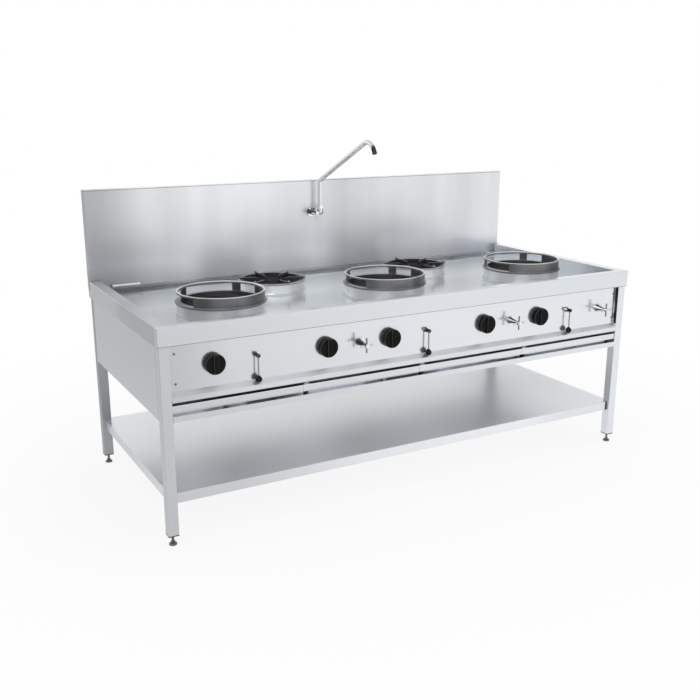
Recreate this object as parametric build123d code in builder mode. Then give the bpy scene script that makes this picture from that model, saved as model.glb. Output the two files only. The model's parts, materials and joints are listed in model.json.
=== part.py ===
"""Three-wok gas range on legs, with two rear pot burners, splashback, tap and undershelf.

All lengths are millimetres. The helpers take x from the left end, y from the front face
of the worktop rim and z from the floor, and place the result with the origin at the
bottom centre of the whole object, +Z up and the front facing -Y.
"""
import os
from math import cos, radians, sin, tan

from build123d import *

os.makedirs("parts", exist_ok=True)

# ---------------------------------------------------------------- overall sizes
WIDTH = 2200.0            # over the worktop rim
MID = WIDTH / 2
STATION = WIDTH / 440     # step of the controls along the front
BODY_DEPTH = 940.0        # rim front to splashback front
SPLASH_T = 50.0           # splashback thickness
PIPE_Y = BODY_DEPTH + SPLASH_T / 2   # pipes inside the splashback
HANDLE_OUT = 38.0         # how far the cross handles stand in front of the rim
FRONT = -(BODY_DEPTH + SPLASH_T - HANDLE_OUT) / 2   # y of the rim's front face
SHEET = 1.5               # panels
TOP_SHEET = 2.0           # worktop

# ---------------------------------------------------------------- frame
TUBE = 40.0               # leg tube, square
TUBE_WALL = 1.5
TUBE_R = 3.0
LEG_IN = 6.0              # leg face behind the rim face
LEG_BOTTOM = 43.0
BUSH_FLANGE = 4.0

# ---------------------------------------------------------------- worktop
DECK = 770.0              # sunk cooking deck
RIM_TOP = DECK + 55.0
RIM_FACE = 70.0           # height of the rim's outer face
RIM_FRONT_W = 38.0
RIM_SIDE_W = 46.0
DECK_UNDER = DECK - TOP_SHEET
GUTTER_Y0 = BODY_DEPTH - 70.0
GUTTER_BOTTOM = DECK - 35.0
GUTTER_END = 50.0
REAR_FLANGE = DECK + 19.0    # top of the flange that carries the splashback
SPLASH_TOP = REAR_FLANGE + 417.0
SPLASH_IN = 10.0          # splashback end inside the rim's end

# ---------------------------------------------------------------- body panels
PANEL_BOTTOM = DECK - 292.0
PANEL_Y = 22.0            # control panel face
PANEL_GAP = 8.0           # panel's right end to the leg
LEDGE_TOP = DECK - 187.0
LIP_TOP = LEDGE_TOP - 16.0
LIP_BOTTOM = LEDGE_TOP - 39.0
LIP_Y = 6.0
RAIL_TOP = LIP_BOTTOM - 6.5
RAIL_H = 28.0
RAIL_Y = 8.0
RAIL_GAP = 4.0            # to the right leg
STRIP_TOP = RAIL_TOP - 40.5
STRIP_BOTTOM = STRIP_TOP - 22.0
SHELF_TOP = 200.0
SHELF_H = 39.0
SHELF_IN = 22.0

# ---------------------------------------------------------------- burners
WOK_X = 360.0             # outer woks from the ends
WOK_Y = 317.0
POT_Y = BODY_DEPTH - 285.0
WOKS = {"left": (WOK_X, WOK_Y), "middle": (MID, WOK_Y), "right": (WIDTH - WOK_X, WOK_Y)}
POTS = {"left": (MID - 373.0, POT_Y), "right": (MID + 372.0, POT_Y)}
WOK_HOLE_R = 160.0        # hole in the deck
POT_HOLE_R = 132.0
WOK_COLLAR_R = 171.0
WOK_COLLAR_TOP = DECK + 51.0
WOK_RING_R = WOK_COLLAR_R - 1.0
WOK_RING_TOP = WOK_COLLAR_TOP + 47.0
WOK_SEAT_R = WOK_COLLAR_R - 11.0   # inner edge of the collar's rolled top
POT_COLLAR_R = 141.0
POT_COLLAR_TOP = DECK + 42.0
POT_SEAT_R = POT_COLLAR_R - 10.0
TRIVET_R = POT_COLLAR_R + 6.0
LOOSE = 1.5               # round a piece that lifts out
RING_WINDOWS = [(15.0, 41.0), (53.0, 124.0), (136.0, 212.0)]
TRIVET_FINS = [36.0, 96.0, 156.0, 216.0, 276.0, 336.0]

# ---------------------------------------------------------------- controls
KNOBS = [STATION * n for n in (42, 133, 189.4, 283, 340.6)]
KNOB_Z = DECK - 102.0
KNOB_R = 38.0
KNOB_FACE = -2.0
KNOB_BACK = 17.0
SPINDLE_R = 4.0
LEVERS = [STATION * n for n in (74.8, 223.8, 373)]
LEVER_Z = DECK - 92.0
LEVER_ROD_Y = 3.0
BALL_Z = LEVER_Z - 90.0
BALL_R = 13.0
LEVER_STEM_R = 3.0
CROSSES = [STATION * n for n in (162.2, 310.8, 410.2)]
CROSS_Z = DECK - 105.0
CROSS_ARM = 30.0
CROSS_STEM_R = 4.0
RUN = 0.05                # radial running clearance of stems and spindles
PUSH = 4.0                # travel of a gas knob

# ---------------------------------------------------------------- pipes
GAS_Y = 84.0
GAS_Z = KNOB_Z
GAS_R = 13.4
GAS_IN_X = WIDTH - 115.0
WATER_Y = 50.0
WATER_Z = DECK - 58.0
WATER_R = 10.65
WATER_IN_X = 110.0
WATER_END_X = WIDTH - 120.0
FEED_R = 5.0
FEED_Z = DECK - 195.0
INLET_END = BODY_DEPTH + SPLASH_T - 5.0
THREAD_L = 40.0           # free threaded length of an inlet
THREAD_CUT = 0.3          # thread size under the pipe size, radial
DRAIN = (WIDTH - 240.0, BODY_DEPTH - 40.0)
DRAIN_R = 20.0
DRAIN_Z = DECK - 130.0    # axis of the waste spigot
RINSE_Z = DECK + 26.0
RINSE_X = 226.0
TAP_X = MID - 34.0        # valve and wall connection
TAP_Y = BODY_DEPTH - 36.0
TAP_Z = REAR_FLANGE + 269.0
RISER_X = TAP_X + 30.0
SPOUT_R = 10.0


# ---------------------------------------------------------------- helpers
def pos(x, y, z):
    """Point in the part frame from a point measured at the left end, rim front and floor."""
    return (x - WIDTH / 2, y + FRONT, z)


def block(x0, x1, y0, y1, z0, z1, mode=Mode.ADD):
    """Box between two measured corners."""
    with Locations(pos((x0 + x1) / 2, (y0 + y1) / 2, (z0 + z1) / 2)):
        Box(x1 - x0, y1 - y0, z1 - z0, mode=mode)


def rod_z(x, y, r, z0, z1, mode=Mode.ADD):
    """Upright cylinder."""
    with Locations(pos(x, y, (z0 + z1) / 2)):
        Cylinder(r, z1 - z0, mode=mode)


def rod_y(x, z, r, y0, y1, mode=Mode.ADD):
    """Cylinder lying front to back."""
    with Locations(Location(pos(x, (y0 + y1) / 2, z), (90, 0, 0))):
        Cylinder(r, y1 - y0, mode=mode)


def rod_x(y, z, r, x0, x1, mode=Mode.ADD):
    """Cylinder lying left to right."""
    with Locations(Location(pos((x0 + x1) / 2, y, z), (0, 90, 0))):
        Cylinder(r, x1 - x0, mode=mode)


def turned(x, y, points, mode=Mode.ADD):
    """Solid of revolution about the upright axis through x, y from (radius, z) points."""
    origin = pos(x, y, 0)
    with BuildSketch(Plane(origin=origin, x_dir=(1, 0, 0), z_dir=(0, -1, 0))) as profile:
        with BuildLine():
            Polyline(*points, close=True)
        make_face()
    revolve(profile.sketch, axis=Axis(origin, (0, 0, 1)), mode=mode)


def tube(points, r, bend, wall):
    """Round pipe of outer radius r along measured points, corners bent to a radius."""
    spots = [Vector(*pos(*p)) for p in points]
    with BuildLine() as path:
        if len(spots) > 2:
            FilletPolyline(*spots, radius=bend)
        else:
            Line(*spots)
    start = spots[0]
    along = (spots[1] - spots[0]).normalized()
    with BuildSketch(Plane(origin=start, z_dir=along)) as ring:
        Circle(r)
        Circle(r - wall, mode=Mode.SUBTRACT)
    sweep(ring.sketch, path=path.wires()[0])


def thread_end(x, z, r):
    """Turn the rear end of a pipe down to the size of its thread or spigot."""
    rod_y(x, z, r + 2, INLET_END - THREAD_L, INLET_END + 1, Mode.SUBTRACT)
    rod_y(x, z, r - THREAD_CUT, INLET_END - THREAD_L - 0.5, INLET_END)
    rod_y(x, z, r - 2.5, INLET_END - THREAD_L - 1, INLET_END + 1, Mode.SUBTRACT)


def save(built, name):
    """Write one named node."""
    built.part.label = name
    export_step(built.part, "parts/" + name + ".step")


# ================================================================ frame and feet
def leg(x0, y0, name, tab=0):
    """Square tube leg with a closed top; tab is +1 or -1 for the ears of the panel."""
    cx = x0 + TUBE / 2
    cy = y0 + TUBE / 2
    with BuildPart() as made:
        with BuildSketch(Plane.XY.offset(LEG_BOTTOM)):
            with Locations(pos(cx, cy, 0)[:2]):
                RectangleRounded(TUBE, TUBE, TUBE_R)
        extrude(amount=DECK_UNDER - LEG_BOTTOM)
        with BuildSketch(Plane.XY.offset(LEG_BOTTOM)):
            with Locations(pos(cx, cy, 0)[:2]):
                RectangleRounded(TUBE - 2 * TUBE_WALL, TUBE - 2 * TUBE_WALL, TUBE_R - TUBE_WALL)
        extrude(amount=DECK_UNDER - LEG_BOTTOM - TUBE_WALL, mode=Mode.SUBTRACT)
        if tab:
            # two folded ears carry the panel screws: plate, web and foot on the leg's side
            edge = x0 + TUBE if tab > 0 else x0
            hole_x = SCREW_X[0] if tab > 0 else SCREW_X[1]
            front = PANEL_Y + SHEET
            for z in SCREW_Z:
                for near, far, y0_, y1_ in ((EAR_NEAR, EAR_FAR, front, front + 3),
                                            (EAR_FAR - 3, EAR_FAR, front, front + 19),
                                            (0, EAR_FAR, front + 16, front + 19)):
                    ends = sorted((edge + tab * near, edge + tab * far))
                    block(ends[0], ends[1], y0_, y1_, z - 12, z + 12)
                rod_y(hole_x, z, 2.2, PANEL_Y, PANEL_Y + 6, Mode.SUBTRACT)
    save(made, name)


SCREW_X = (LEG_IN + TUBE + 20, WIDTH - LEG_IN - TUBE - 15)
SCREW_Z = (DECK - 159.0, DECK - 49.0)
EAR_NEAR = 9.0            # ear plate from the leg's side
EAR_FAR = 29.0
LEG_X = (LEG_IN, WIDTH - LEG_IN - TUBE)
LEG_Y = (LEG_IN, BODY_DEPTH - TUBE)
leg(LEG_X[0], LEG_Y[0], "leg_front_left", 1)
leg(LEG_X[1], LEG_Y[0], "leg_front_right", -1)
leg(LEG_X[0], LEG_Y[1], "leg_rear_left")
leg(LEG_X[1], LEG_Y[1], "leg_rear_right")

STEM_R = 5.0
LEG_CENTRES = {
    "front_left": (LEG_X[0] + TUBE / 2, LEG_Y[0] + TUBE / 2),
    "front_right": (LEG_X[1] + TUBE / 2, LEG_Y[0] + TUBE / 2),
    "rear_left": (LEG_X[0] + TUBE / 2, LEG_Y[1] + TUBE / 2),
    "rear_right": (LEG_X[1] + TUBE / 2, LEG_Y[1] + TUBE / 2),
}

with BuildPart() as foot_bushes:
    for cx, cy in LEG_CENTRES.values():
        with BuildSketch(Plane.XY.offset(LEG_BOTTOM - BUSH_FLANGE)):
            with Locations(pos(cx, cy, 0)[:2]):
                RectangleRounded(TUBE, TUBE, TUBE_R)
        extrude(amount=BUSH_FLANGE)
        with BuildSketch(Plane.XY.offset(LEG_BOTTOM)):
            with Locations(pos(cx, cy, 0)[:2]):
                RectangleRounded(TUBE - 2 * TUBE_WALL - 0.2, TUBE - 2 * TUBE_WALL - 0.2, 1.4)
        extrude(amount=18)
        rod_z(cx, cy, STEM_R + 0.08, LEG_BOTTOM - 6, LEG_BOTTOM + 20, Mode.SUBTRACT)
save(foot_bushes, "foot_bushes")

for where, (cx, cy) in LEG_CENTRES.items():
    with BuildPart() as foot:
        turned(cx, cy, [(0, 0), (14, 0), (15, 1), (15, 5), (11, 9), (7, 11), (STEM_R, 11),
                        (STEM_R, 87), (STEM_R - 1, 88), (0, 88)])
        with BuildSketch(Plane.XY.offset(10)):
            with Locations(pos(cx, cy, 0)[:2]):
                RegularPolygon(8, 6)
        extrude(amount=6)
    save(foot, "foot_" + where)

# ================================================================ body panels
with BuildPart() as side_panel_left:
    block(LEG_IN, LEG_IN + 16, LEG_Y[0] + TUBE, LEG_Y[1], PANEL_BOTTOM, DECK_UNDER)
    block(LEG_IN + SHEET, LEG_IN + 17, LEG_Y[0] + TUBE + SHEET, LEG_Y[1] - SHEET,
          PANEL_BOTTOM + SHEET, DECK_UNDER - SHEET, Mode.SUBTRACT)
save(side_panel_left, "side_panel_left")

with BuildPart() as side_panel_right:
    far = WIDTH - LEG_IN
    block(far - 16, far, LEG_Y[0] + TUBE, LEG_Y[1], PANEL_BOTTOM, DECK_UNDER)
    block(far - 17, far - SHEET, LEG_Y[0] + TUBE + SHEET, LEG_Y[1] - SHEET,
          PANEL_BOTTOM + SHEET, DECK_UNDER - SHEET, Mode.SUBTRACT)
save(side_panel_right, "side_panel_right")

IN_L = LEG_X[0] + TUBE          # between the legs
IN_R = LEG_X[1]
TROUGH_UNDER = GUTTER_BOTTOM - TOP_SHEET
with BuildPart() as rear_panel:
    block(IN_L, IN_R, BODY_DEPTH - 16, BODY_DEPTH, PANEL_BOTTOM, TROUGH_UNDER)
    block(IN_L + SHEET, IN_R - SHEET, BODY_DEPTH - 17, BODY_DEPTH - SHEET,
          PANEL_BOTTOM + SHEET, TROUGH_UNDER - SHEET, Mode.SUBTRACT)
    for x, z, r in ((GAS_IN_X, GAS_Z, GAS_R), (WATER_IN_X, WATER_Z, WATER_R),
                    (DRAIN[0], DRAIN_Z, DRAIN_R)):
        rod_y(x, z, r + 0.6, BODY_DEPTH - 10, BODY_DEPTH + 5, Mode.SUBTRACT)
save(rear_panel, "rear_panel")

# ================================================================ worktop
with BuildPart() as worktop:
    block(0, WIDTH, 0, BODY_DEPTH, RIM_TOP - RIM_FACE, RIM_TOP)
    front_edges = worktop.edges().filter_by(Axis.Z).sort_by(Axis.Y)[:2]
    fillet(front_edges, 4)
    top_edges = worktop.faces().sort_by(Axis.Z)[-1].edges()
    fillet(top_edges.sort_by(Axis.Y)[:-1], 1.6)
    # folded skirt, open below
    block(TOP_SHEET, WIDTH - TOP_SHEET, TOP_SHEET, BODY_DEPTH + 1,
          RIM_TOP - RIM_FACE - 1, DECK_UNDER, Mode.SUBTRACT)
    # sunk deck
    block(RIM_SIDE_W, WIDTH - RIM_SIDE_W, RIM_FRONT_W, BODY_DEPTH - TOP_SHEET,
          DECK, RIM_TOP + 1, Mode.SUBTRACT)
    block(RIM_SIDE_W, WIDTH - RIM_SIDE_W, BODY_DEPTH - TOP_SHEET - 1, BODY_DEPTH + 1,
          REAR_FLANGE, RIM_TOP + 1, Mode.SUBTRACT)
    # hollow rims
    block(TOP_SHEET, WIDTH - TOP_SHEET, TOP_SHEET, RIM_FRONT_W - TOP_SHEET,
          DECK, RIM_TOP - TOP_SHEET, Mode.SUBTRACT)
    for x0 in (TOP_SHEET, WIDTH - RIM_SIDE_W + TOP_SHEET):
        block(x0, x0 + RIM_SIDE_W - 2 * TOP_SHEET, TOP_SHEET, BODY_DEPTH - TOP_SHEET,
              DECK, RIM_TOP - TOP_SHEET, Mode.SUBTRACT)
    for x in (25, WIDTH - 25):
        rod_z(x, BODY_DEPTH / 2 + 30, 4, DECK_UNDER - 1, DECK + 1, Mode.SUBTRACT)
    # rear gutter and the flange under the splashback
    block(GUTTER_END - TOP_SHEET, WIDTH - GUTTER_END + TOP_SHEET, GUTTER_Y0 - TOP_SHEET,
          BODY_DEPTH, TROUGH_UNDER, DECK - 0.5)
    block(GUTTER_END, WIDTH - GUTTER_END, GUTTER_Y0, BODY_DEPTH - TOP_SHEET,
          GUTTER_BOTTOM, DECK + 1, Mode.SUBTRACT)
    block(SPLASH_IN, WIDTH - SPLASH_IN, BODY_DEPTH - TOP_SHEET, BODY_DEPTH + SPLASH_T,
          REAR_FLANGE - TOP_SHEET, REAR_FLANGE)
    rod_z(DRAIN[0], DRAIN[1], DRAIN_R + 0.3, TROUGH_UNDER - 1, GUTTER_BOTTOM + 1, Mode.SUBTRACT)
    rod_z(TAP_X, PIPE_Y, 8, REAR_FLANGE - 4, REAR_FLANGE + 1, Mode.SUBTRACT)
    rod_z(RINSE_X, PIPE_Y - 3, 10.5, REAR_FLANGE - 4, REAR_FLANGE + 1, Mode.SUBTRACT)
    # burner holes
    for cx, cy in WOKS.values():
        rod_z(cx, cy, WOK_HOLE_R, DECK_UNDER - 1, DECK + 1, Mode.SUBTRACT)
    for cx, cy in POTS.values():
        rod_z(cx, cy, POT_HOLE_R, DECK_UNDER - 1, DECK + 1, Mode.SUBTRACT)
save(worktop, "worktop")

with BuildPart() as splashback:
    block(SPLASH_IN, WIDTH - SPLASH_IN, BODY_DEPTH, BODY_DEPTH + SPLASH_T, REAR_FLANGE, SPLASH_TOP)
    upright = splashback.edges().filter_by(Axis.Z)
    fillet(upright, 2)
    fillet(splashback.faces().sort_by(Axis.Z)[-1].edges(), 1.4)
    block(SPLASH_IN + SHEET, WIDTH - SPLASH_IN - SHEET, BODY_DEPTH + SHEET,
          BODY_DEPTH + SPLASH_T - SHEET, REAR_FLANGE - 1, SPLASH_TOP - SHEET, Mode.SUBTRACT)
    rod_y(TAP_X, TAP_Z, 10.6, BODY_DEPTH - 2, BODY_DEPTH + 4, Mode.SUBTRACT)
    rod_y(RINSE_X, RINSE_Z, 6.8, BODY_DEPTH - 2, BODY_DEPTH + 4, Mode.SUBTRACT)
save(splashback, "splashback")

# ================================================================ control panel and rails
with BuildPart() as control_panel:
    block(IN_L, IN_R - PANEL_GAP, PANEL_Y, PANEL_Y + SHEET, LEDGE_TOP, DECK_UNDER)
    for x in KNOBS:
        rod_y(x, KNOB_Z, 8.3, PANEL_Y - 2, PANEL_Y + 4, Mode.SUBTRACT)
    for x in CROSSES:
        rod_y(x, CROSS_Z, 9.3, PANEL_Y - 2, PANEL_Y + 4, Mode.SUBTRACT)
    for x in LEVERS:
        rod_y(x, LEVER_Z, 7.3, PANEL_Y - 2, PANEL_Y + 4, Mode.SUBTRACT)
    for x in SCREW_X:
        for z in SCREW_Z:
            rod_y(x, z, 2.2, PANEL_Y - 2, PANEL_Y + 4, Mode.SUBTRACT)
    # folded drip ledge, a strip of its own under the panel
    with BuildSketch(Plane(origin=pos(IN_L, 0, 0), x_dir=(0, 1, 0), z_dir=(1, 0, 0))):
        with BuildLine():
            Polyline((PANEL_Y, LEDGE_TOP), (LIP_Y, LIP_TOP), (LIP_Y, LIP_BOTTOM),
                     (LIP_Y + 30, LIP_BOTTOM), (LIP_Y + 30, LIP_BOTTOM + SHEET),
                     (LIP_Y + SHEET, LIP_BOTTOM + SHEET), (LIP_Y + SHEET, LIP_TOP - 0.6),
                     (PANEL_Y + SHEET, LEDGE_TOP - 0.6), (PANEL_Y + SHEET, LEDGE_TOP), close=True)
        make_face()
    ledge = extrude(amount=IN_R - IN_L, mode=Mode.PRIVATE)
panel_group = Compound(children=[control_panel.part.solids()[0], ledge.solids()[0]])
panel_group.label = "control_panel"
export_step(panel_group, "parts/control_panel.step")

with BuildPart() as panel_screws:
    for x in SCREW_X:
        for z in SCREW_Z:
            with BuildSketch(Plane(origin=pos(x, PANEL_Y, z), x_dir=(1, 0, 0), z_dir=(0, -1, 0))):
                Circle(4.5)
            extrude(amount=2.2, taper=12)
            rod_y(x, z, 2.0, PANEL_Y - 0.2, PANEL_Y + 9)
save(panel_screws, "panel_screws")


def rail_section(grow=0.0):
    """Rounded rectangle of the front rail, in the plane across it."""
    RectangleRounded(RAIL_H + 2 * grow, RAIL_H + 2 * grow, 4 + grow)


with BuildPart() as front_rail:
    centre = pos(IN_L, RAIL_Y + RAIL_H / 2, RAIL_TOP - RAIL_H / 2)
    with BuildSketch(Plane(origin=centre, x_dir=(0, 1, 0), z_dir=(1, 0, 0))):
        rail_section()
        RectangleRounded(RAIL_H - 2 * SHEET, RAIL_H - 2 * SHEET, 2.5, mode=Mode.SUBTRACT)
    extrude(amount=IN_R - IN_L - RAIL_GAP)
save(front_rail, "front_rail")

CLIP_X = [STATION * n for n in (114.6, 219.4, 324.8)]
CLIP_W = 30.0
with BuildPart() as rail_clips:
    for x in CLIP_X:
        centre = pos(x - CLIP_W / 2, RAIL_Y + RAIL_H / 2, RAIL_TOP - RAIL_H / 2)
        with BuildSketch(Plane(origin=centre, x_dir=(0, 1, 0), z_dir=(1, 0, 0))):
            rail_section(1.5)
            rail_section(0.0)
            RectangleRounded(RAIL_H, RAIL_H, 4, mode=Mode.SUBTRACT)
        extrude(amount=CLIP_W)
        block(x - 9, x + 9, RAIL_Y + 5, RAIL_Y + 23, RAIL_TOP + 1.4, LIP_BOTTOM)
        block(x - 6, x + 6, RAIL_Y + 5, RAIL_Y + 23, STRIP_TOP, RAIL_TOP - RAIL_H - 1.4)
        rod_y(x, RAIL_TOP - RAIL_H - 7, 3.6, RAIL_Y - 1, RAIL_Y + 6)
save(rail_clips, "rail_clips")

with BuildPart() as lower_rail:
    block(IN_L, IN_R, LIP_Y, LIP_Y + 34, STRIP_BOTTOM, STRIP_TOP)
    block(IN_L - 1, IN_R + 1, LIP_Y + SHEET, LIP_Y + 35, STRIP_BOTTOM + SHEET,
          STRIP_TOP - SHEET, Mode.SUBTRACT)
save(lower_rail, "lower_rail")

with BuildPart() as undershelf:
    block(SHELF_IN, WIDTH - SHELF_IN, SHELF_IN, BODY_DEPTH, SHELF_TOP - SHELF_H, SHELF_TOP)
    long_top = undershelf.faces().sort_by(Axis.Z)[-1].edges().sort_by(Axis.Y)[0]
    fillet(long_top, 1.4)
    # the pan's inside, kept clear of the four corner notches
    block(IN_L + SHEET, IN_R - SHEET, SHELF_IN + SHEET, BODY_DEPTH - SHEET,
          SHELF_TOP - SHELF_H - 1, SHELF_TOP - SHEET, Mode.SUBTRACT)
    block(SHELF_IN + SHEET, WIDTH - SHELF_IN - SHEET, LEG_Y[0] + TUBE + SHEET, LEG_Y[1] - SHEET,
          SHELF_TOP - SHELF_H - 1, SHELF_TOP - SHEET, Mode.SUBTRACT)
    for x0 in (0, IN_R):
        for y0 in (0, LEG_Y[1]):
            block(x0, x0 + IN_L, y0, y0 + IN_L, SHELF_TOP - SHELF_H - 1, SHELF_TOP + 1, Mode.SUBTRACT)
save(undershelf, "undershelf")

with BuildPart() as drain_outlet:
    tube([(*DRAIN, GUTTER_BOTTOM), (*DRAIN, DRAIN_Z), (DRAIN[0], INLET_END, DRAIN_Z)],
         DRAIN_R, 32, 2.5)
    thread_end(DRAIN[0], DRAIN_Z, DRAIN_R)
    turned(*DRAIN, [
        (DRAIN_R - 2.5, GUTTER_BOTTOM - 3), (DRAIN_R, GUTTER_BOTTOM - 3), (DRAIN_R, GUTTER_BOTTOM),
        (DRAIN_R + 10, GUTTER_BOTTOM), (DRAIN_R + 10, GUTTER_BOTTOM + 1),
        (DRAIN_R + 7, GUTTER_BOTTOM + 2.5), (DRAIN_R - 2.5, GUTTER_BOTTOM + 1.5)])
save(drain_outlet, "drain_outlet")

# ================================================================ wok burners
for where, (cx, cy) in WOKS.items():
    with BuildPart() as wok_collar:
        turned(cx, cy, [
            (WOK_COLLAR_R - 2, DECK), (WOK_COLLAR_R + 6, DECK), (WOK_COLLAR_R + 6, DECK + 1.5),
            (WOK_COLLAR_R + 1.5, DECK + 4), (WOK_COLLAR_R, DECK + 9),
            (WOK_COLLAR_R, WOK_COLLAR_TOP - 1), (WOK_COLLAR_R - 1, WOK_COLLAR_TOP),
            (WOK_SEAT_R, WOK_COLLAR_TOP), (WOK_SEAT_R, WOK_COLLAR_TOP - 2),
            (WOK_COLLAR_R - 2, WOK_COLLAR_TOP - 2)])
    save(wok_collar, "wok_collar_" + where)

NOZZLES = 10
CHAMBER = DECK - 136.0    # bottom of the wok's combustion chamber
BOWL = DECK - 46.0        # bottom of the pot burner's drip bowl
WOK_FEED = DECK - 170.0   # lower ends of the inlet bosses
POT_FEED = DECK - 80.0
with BuildPart() as wok_burners:
    rim = WOK_HOLE_R - 2
    for cx, cy in WOKS.values():
        # cast combustion chamber hung in the deck hole
        turned(cx, cy, [
            (0, CHAMBER), (86, CHAMBER), (90, CHAMBER + 6), (90, CHAMBER + 30),
            (rim - 1, DECK - 18), (rim, DECK), (rim + 8, DECK), (rim + 8, DECK + 4),
            (rim - 6, DECK + 4), (rim - 8, DECK - 14), (82, CHAMBER + 34), (82, CHAMBER + 8),
            (0, CHAMBER + 8)])
        # jet head with its ring of nozzles and the inlet boss
        turned(cx, cy, [(0, CHAMBER + 6), (64, CHAMBER + 6), (64, CHAMBER + 30),
                        (58, CHAMBER + 36), (0, CHAMBER + 36)])
        rod_z(cx, cy, 16, WOK_FEED, CHAMBER + 2)
        rod_z(cx, cy, 9, CHAMBER + 34, CHAMBER + 68)
        for i in range(NOZZLES):
            a = radians(360 / NOZZLES * i)
            rod_z(cx + 42 * cos(a), cy + 42 * sin(a), 8, CHAMBER + 34, CHAMBER + 62)
save(wok_burners, "wok_burners")

for where, (cx, cy) in WOKS.items():
    base = WOK_COLLAR_TOP
    with BuildPart() as wok_ring:
        # base band with rounded edge, locating skirt, wall and wok seat
        turned(cx, cy, [
            (WOK_SEAT_R - LOOSE - 4, base - 9), (WOK_SEAT_R - LOOSE, base - 9),
            (WOK_SEAT_R - LOOSE, base), (WOK_RING_R + 5, base), (WOK_RING_R + 7, base + 2),
            (WOK_RING_R + 7, base + 6), (WOK_RING_R + 5, base + 8), (WOK_RING_R, base + 8),
            (WOK_RING_R, WOK_RING_TOP - 8), (WOK_RING_R + 1, WOK_RING_TOP - 7),
            (WOK_RING_R + 1, WOK_RING_TOP - 1), (WOK_RING_R, WOK_RING_TOP),
            (WOK_RING_R - 4, WOK_RING_TOP), (WOK_RING_R - 8, WOK_RING_TOP - 5),
            (WOK_RING_R - 8, WOK_RING_TOP - 8), (WOK_RING_R - 5, WOK_RING_TOP - 8),
            (WOK_RING_R - 5, base + 8), (WOK_SEAT_R - LOOSE - 4, base + 8)])
        with BuildSketch(Plane.XY.offset(base + 8)):
            for a0, a1 in RING_WINDOWS:
                spread = [a0 + (a1 - a0) * k / 3 for k in range(4)]
                reach = [(240 * cos(radians(a)), 240 * sin(radians(a))) for a in spread]
                ox, oy = pos(cx, cy, 0)[:2]
                with BuildLine():
                    Polyline((ox, oy), *[(ox + u, oy + v) for u, v in reach], close=True)
                make_face()
        extrude(amount=WOK_RING_TOP - 16 - base, mode=Mode.SUBTRACT)
    save(wok_ring, "wok_ring_" + where)

# ================================================================ pot burners
for where, (cx, cy) in POTS.items():
    with BuildPart() as pot_collar:
        turned(cx, cy, [
            (POT_COLLAR_R - 2, DECK), (POT_COLLAR_R + 6, DECK), (POT_COLLAR_R + 6, DECK + 1.5),
            (POT_COLLAR_R + 1.5, DECK + 4), (POT_COLLAR_R, DECK + 8),
            (POT_COLLAR_R, POT_COLLAR_TOP - 1), (POT_COLLAR_R - 1, POT_COLLAR_TOP),
            (POT_SEAT_R, POT_COLLAR_TOP), (POT_SEAT_R, POT_COLLAR_TOP - 2),
            (POT_COLLAR_R - 2, POT_COLLAR_TOP - 2)])
    save(pot_collar, "pot_collar_" + where)

with BuildPart() as pot_burners:
    edge = POT_HOLE_R - 1
    for cx, cy in POTS.values():
        # drip bowl
        turned(cx, cy, [
            (0, BOWL), (edge - 9, BOWL), (edge - 1, BOWL + 8), (edge, DECK), (edge + 6, DECK),
            (edge + 6, DECK + 2), (edge - 3, DECK + 2), (edge - 4, BOWL + 10),
            (edge - 11, BOWL + 3), (0, BOWL + 3)])
        # two burner rings on four arms
        turned(cx, cy, [(62, BOWL + 24), (84, BOWL + 24), (84, BOWL + 48), (80, BOWL + 54),
                        (66, BOWL + 54), (62, BOWL + 48)])
        turned(cx, cy, [(0, BOWL + 2), (20, BOWL + 2), (20, BOWL + 24), (30, BOWL + 26),
                        (30, BOWL + 48), (26, BOWL + 54), (0, BOWL + 54)])
        rod_z(cx, cy, 16, POT_FEED, BOWL + 4)
        for a in (45, 135):
            with Locations(Location(pos(cx, cy, BOWL + 20), (0, 0, a))):
                Box(150, 14, 12)
save(pot_burners, "pot_burners")

for where, (cx, cy) in POTS.items():
    base = POT_COLLAR_TOP
    with BuildPart() as trivet:
        turned(cx, cy, [
            (POT_SEAT_R - LOOSE - 4, base - 6), (POT_SEAT_R - LOOSE, base - 6),
            (POT_SEAT_R - LOOSE, base), (TRIVET_R - 1, base), (TRIVET_R, base + 1),
            (TRIVET_R, base + 5), (TRIVET_R - 1, base + 6), (POT_SEAT_R - LOOSE - 4, base + 6)])
        for a in TRIVET_FINS:
            ox, oy = pos(cx, cy, 0)[:2]
            out = (cos(radians(a)), sin(radians(a)), 0)
            side = (sin(radians(a)), -cos(radians(a)), 0)
            with BuildSketch(Plane(origin=(ox, oy, 0), x_dir=out, z_dir=side)):
                with BuildLine():
                    Polyline((57, base - 1), (64, base - 6), (POT_SEAT_R - 5, base - 6),
                             (POT_SEAT_R - 5, base + 1), (TRIVET_R - 0.6, base + 1),
                             (TRIVET_R - 0.6, base + 15), (TRIVET_R - 4, base + 18),
                             (TRIVET_R - 11, base + 17), (TRIVET_R - 17, base + 11),
                             (70, base + 11), (57, base + 4), close=True)
                make_face()
            extrude(amount=4, both=True)
    save(trivet, "trivet_" + where)

# ================================================================ gas side
with BuildPart() as gas_valves:
    for x in KNOBS:
        rod_y(x, KNOB_Z, 15, PANEL_Y + SHEET, GAS_Y - 4)
        rod_y(x, KNOB_Z, 8, PANEL_Y - 0.2, PANEL_Y + 4)
        rod_z(x, 50, 9, KNOB_Z - 24, KNOB_Z)
        rod_x(GAS_Y, GAS_Z, GAS_R + 0.05, x - 30, x + 30, Mode.SUBTRACT)
        rod_y(x, KNOB_Z, SPINDLE_R + RUN, PANEL_Y - 2, 64, Mode.SUBTRACT)
        rod_y(x, KNOB_Z, 8.05, 34, 54, Mode.SUBTRACT)
save(gas_valves, "gas_valves")

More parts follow.
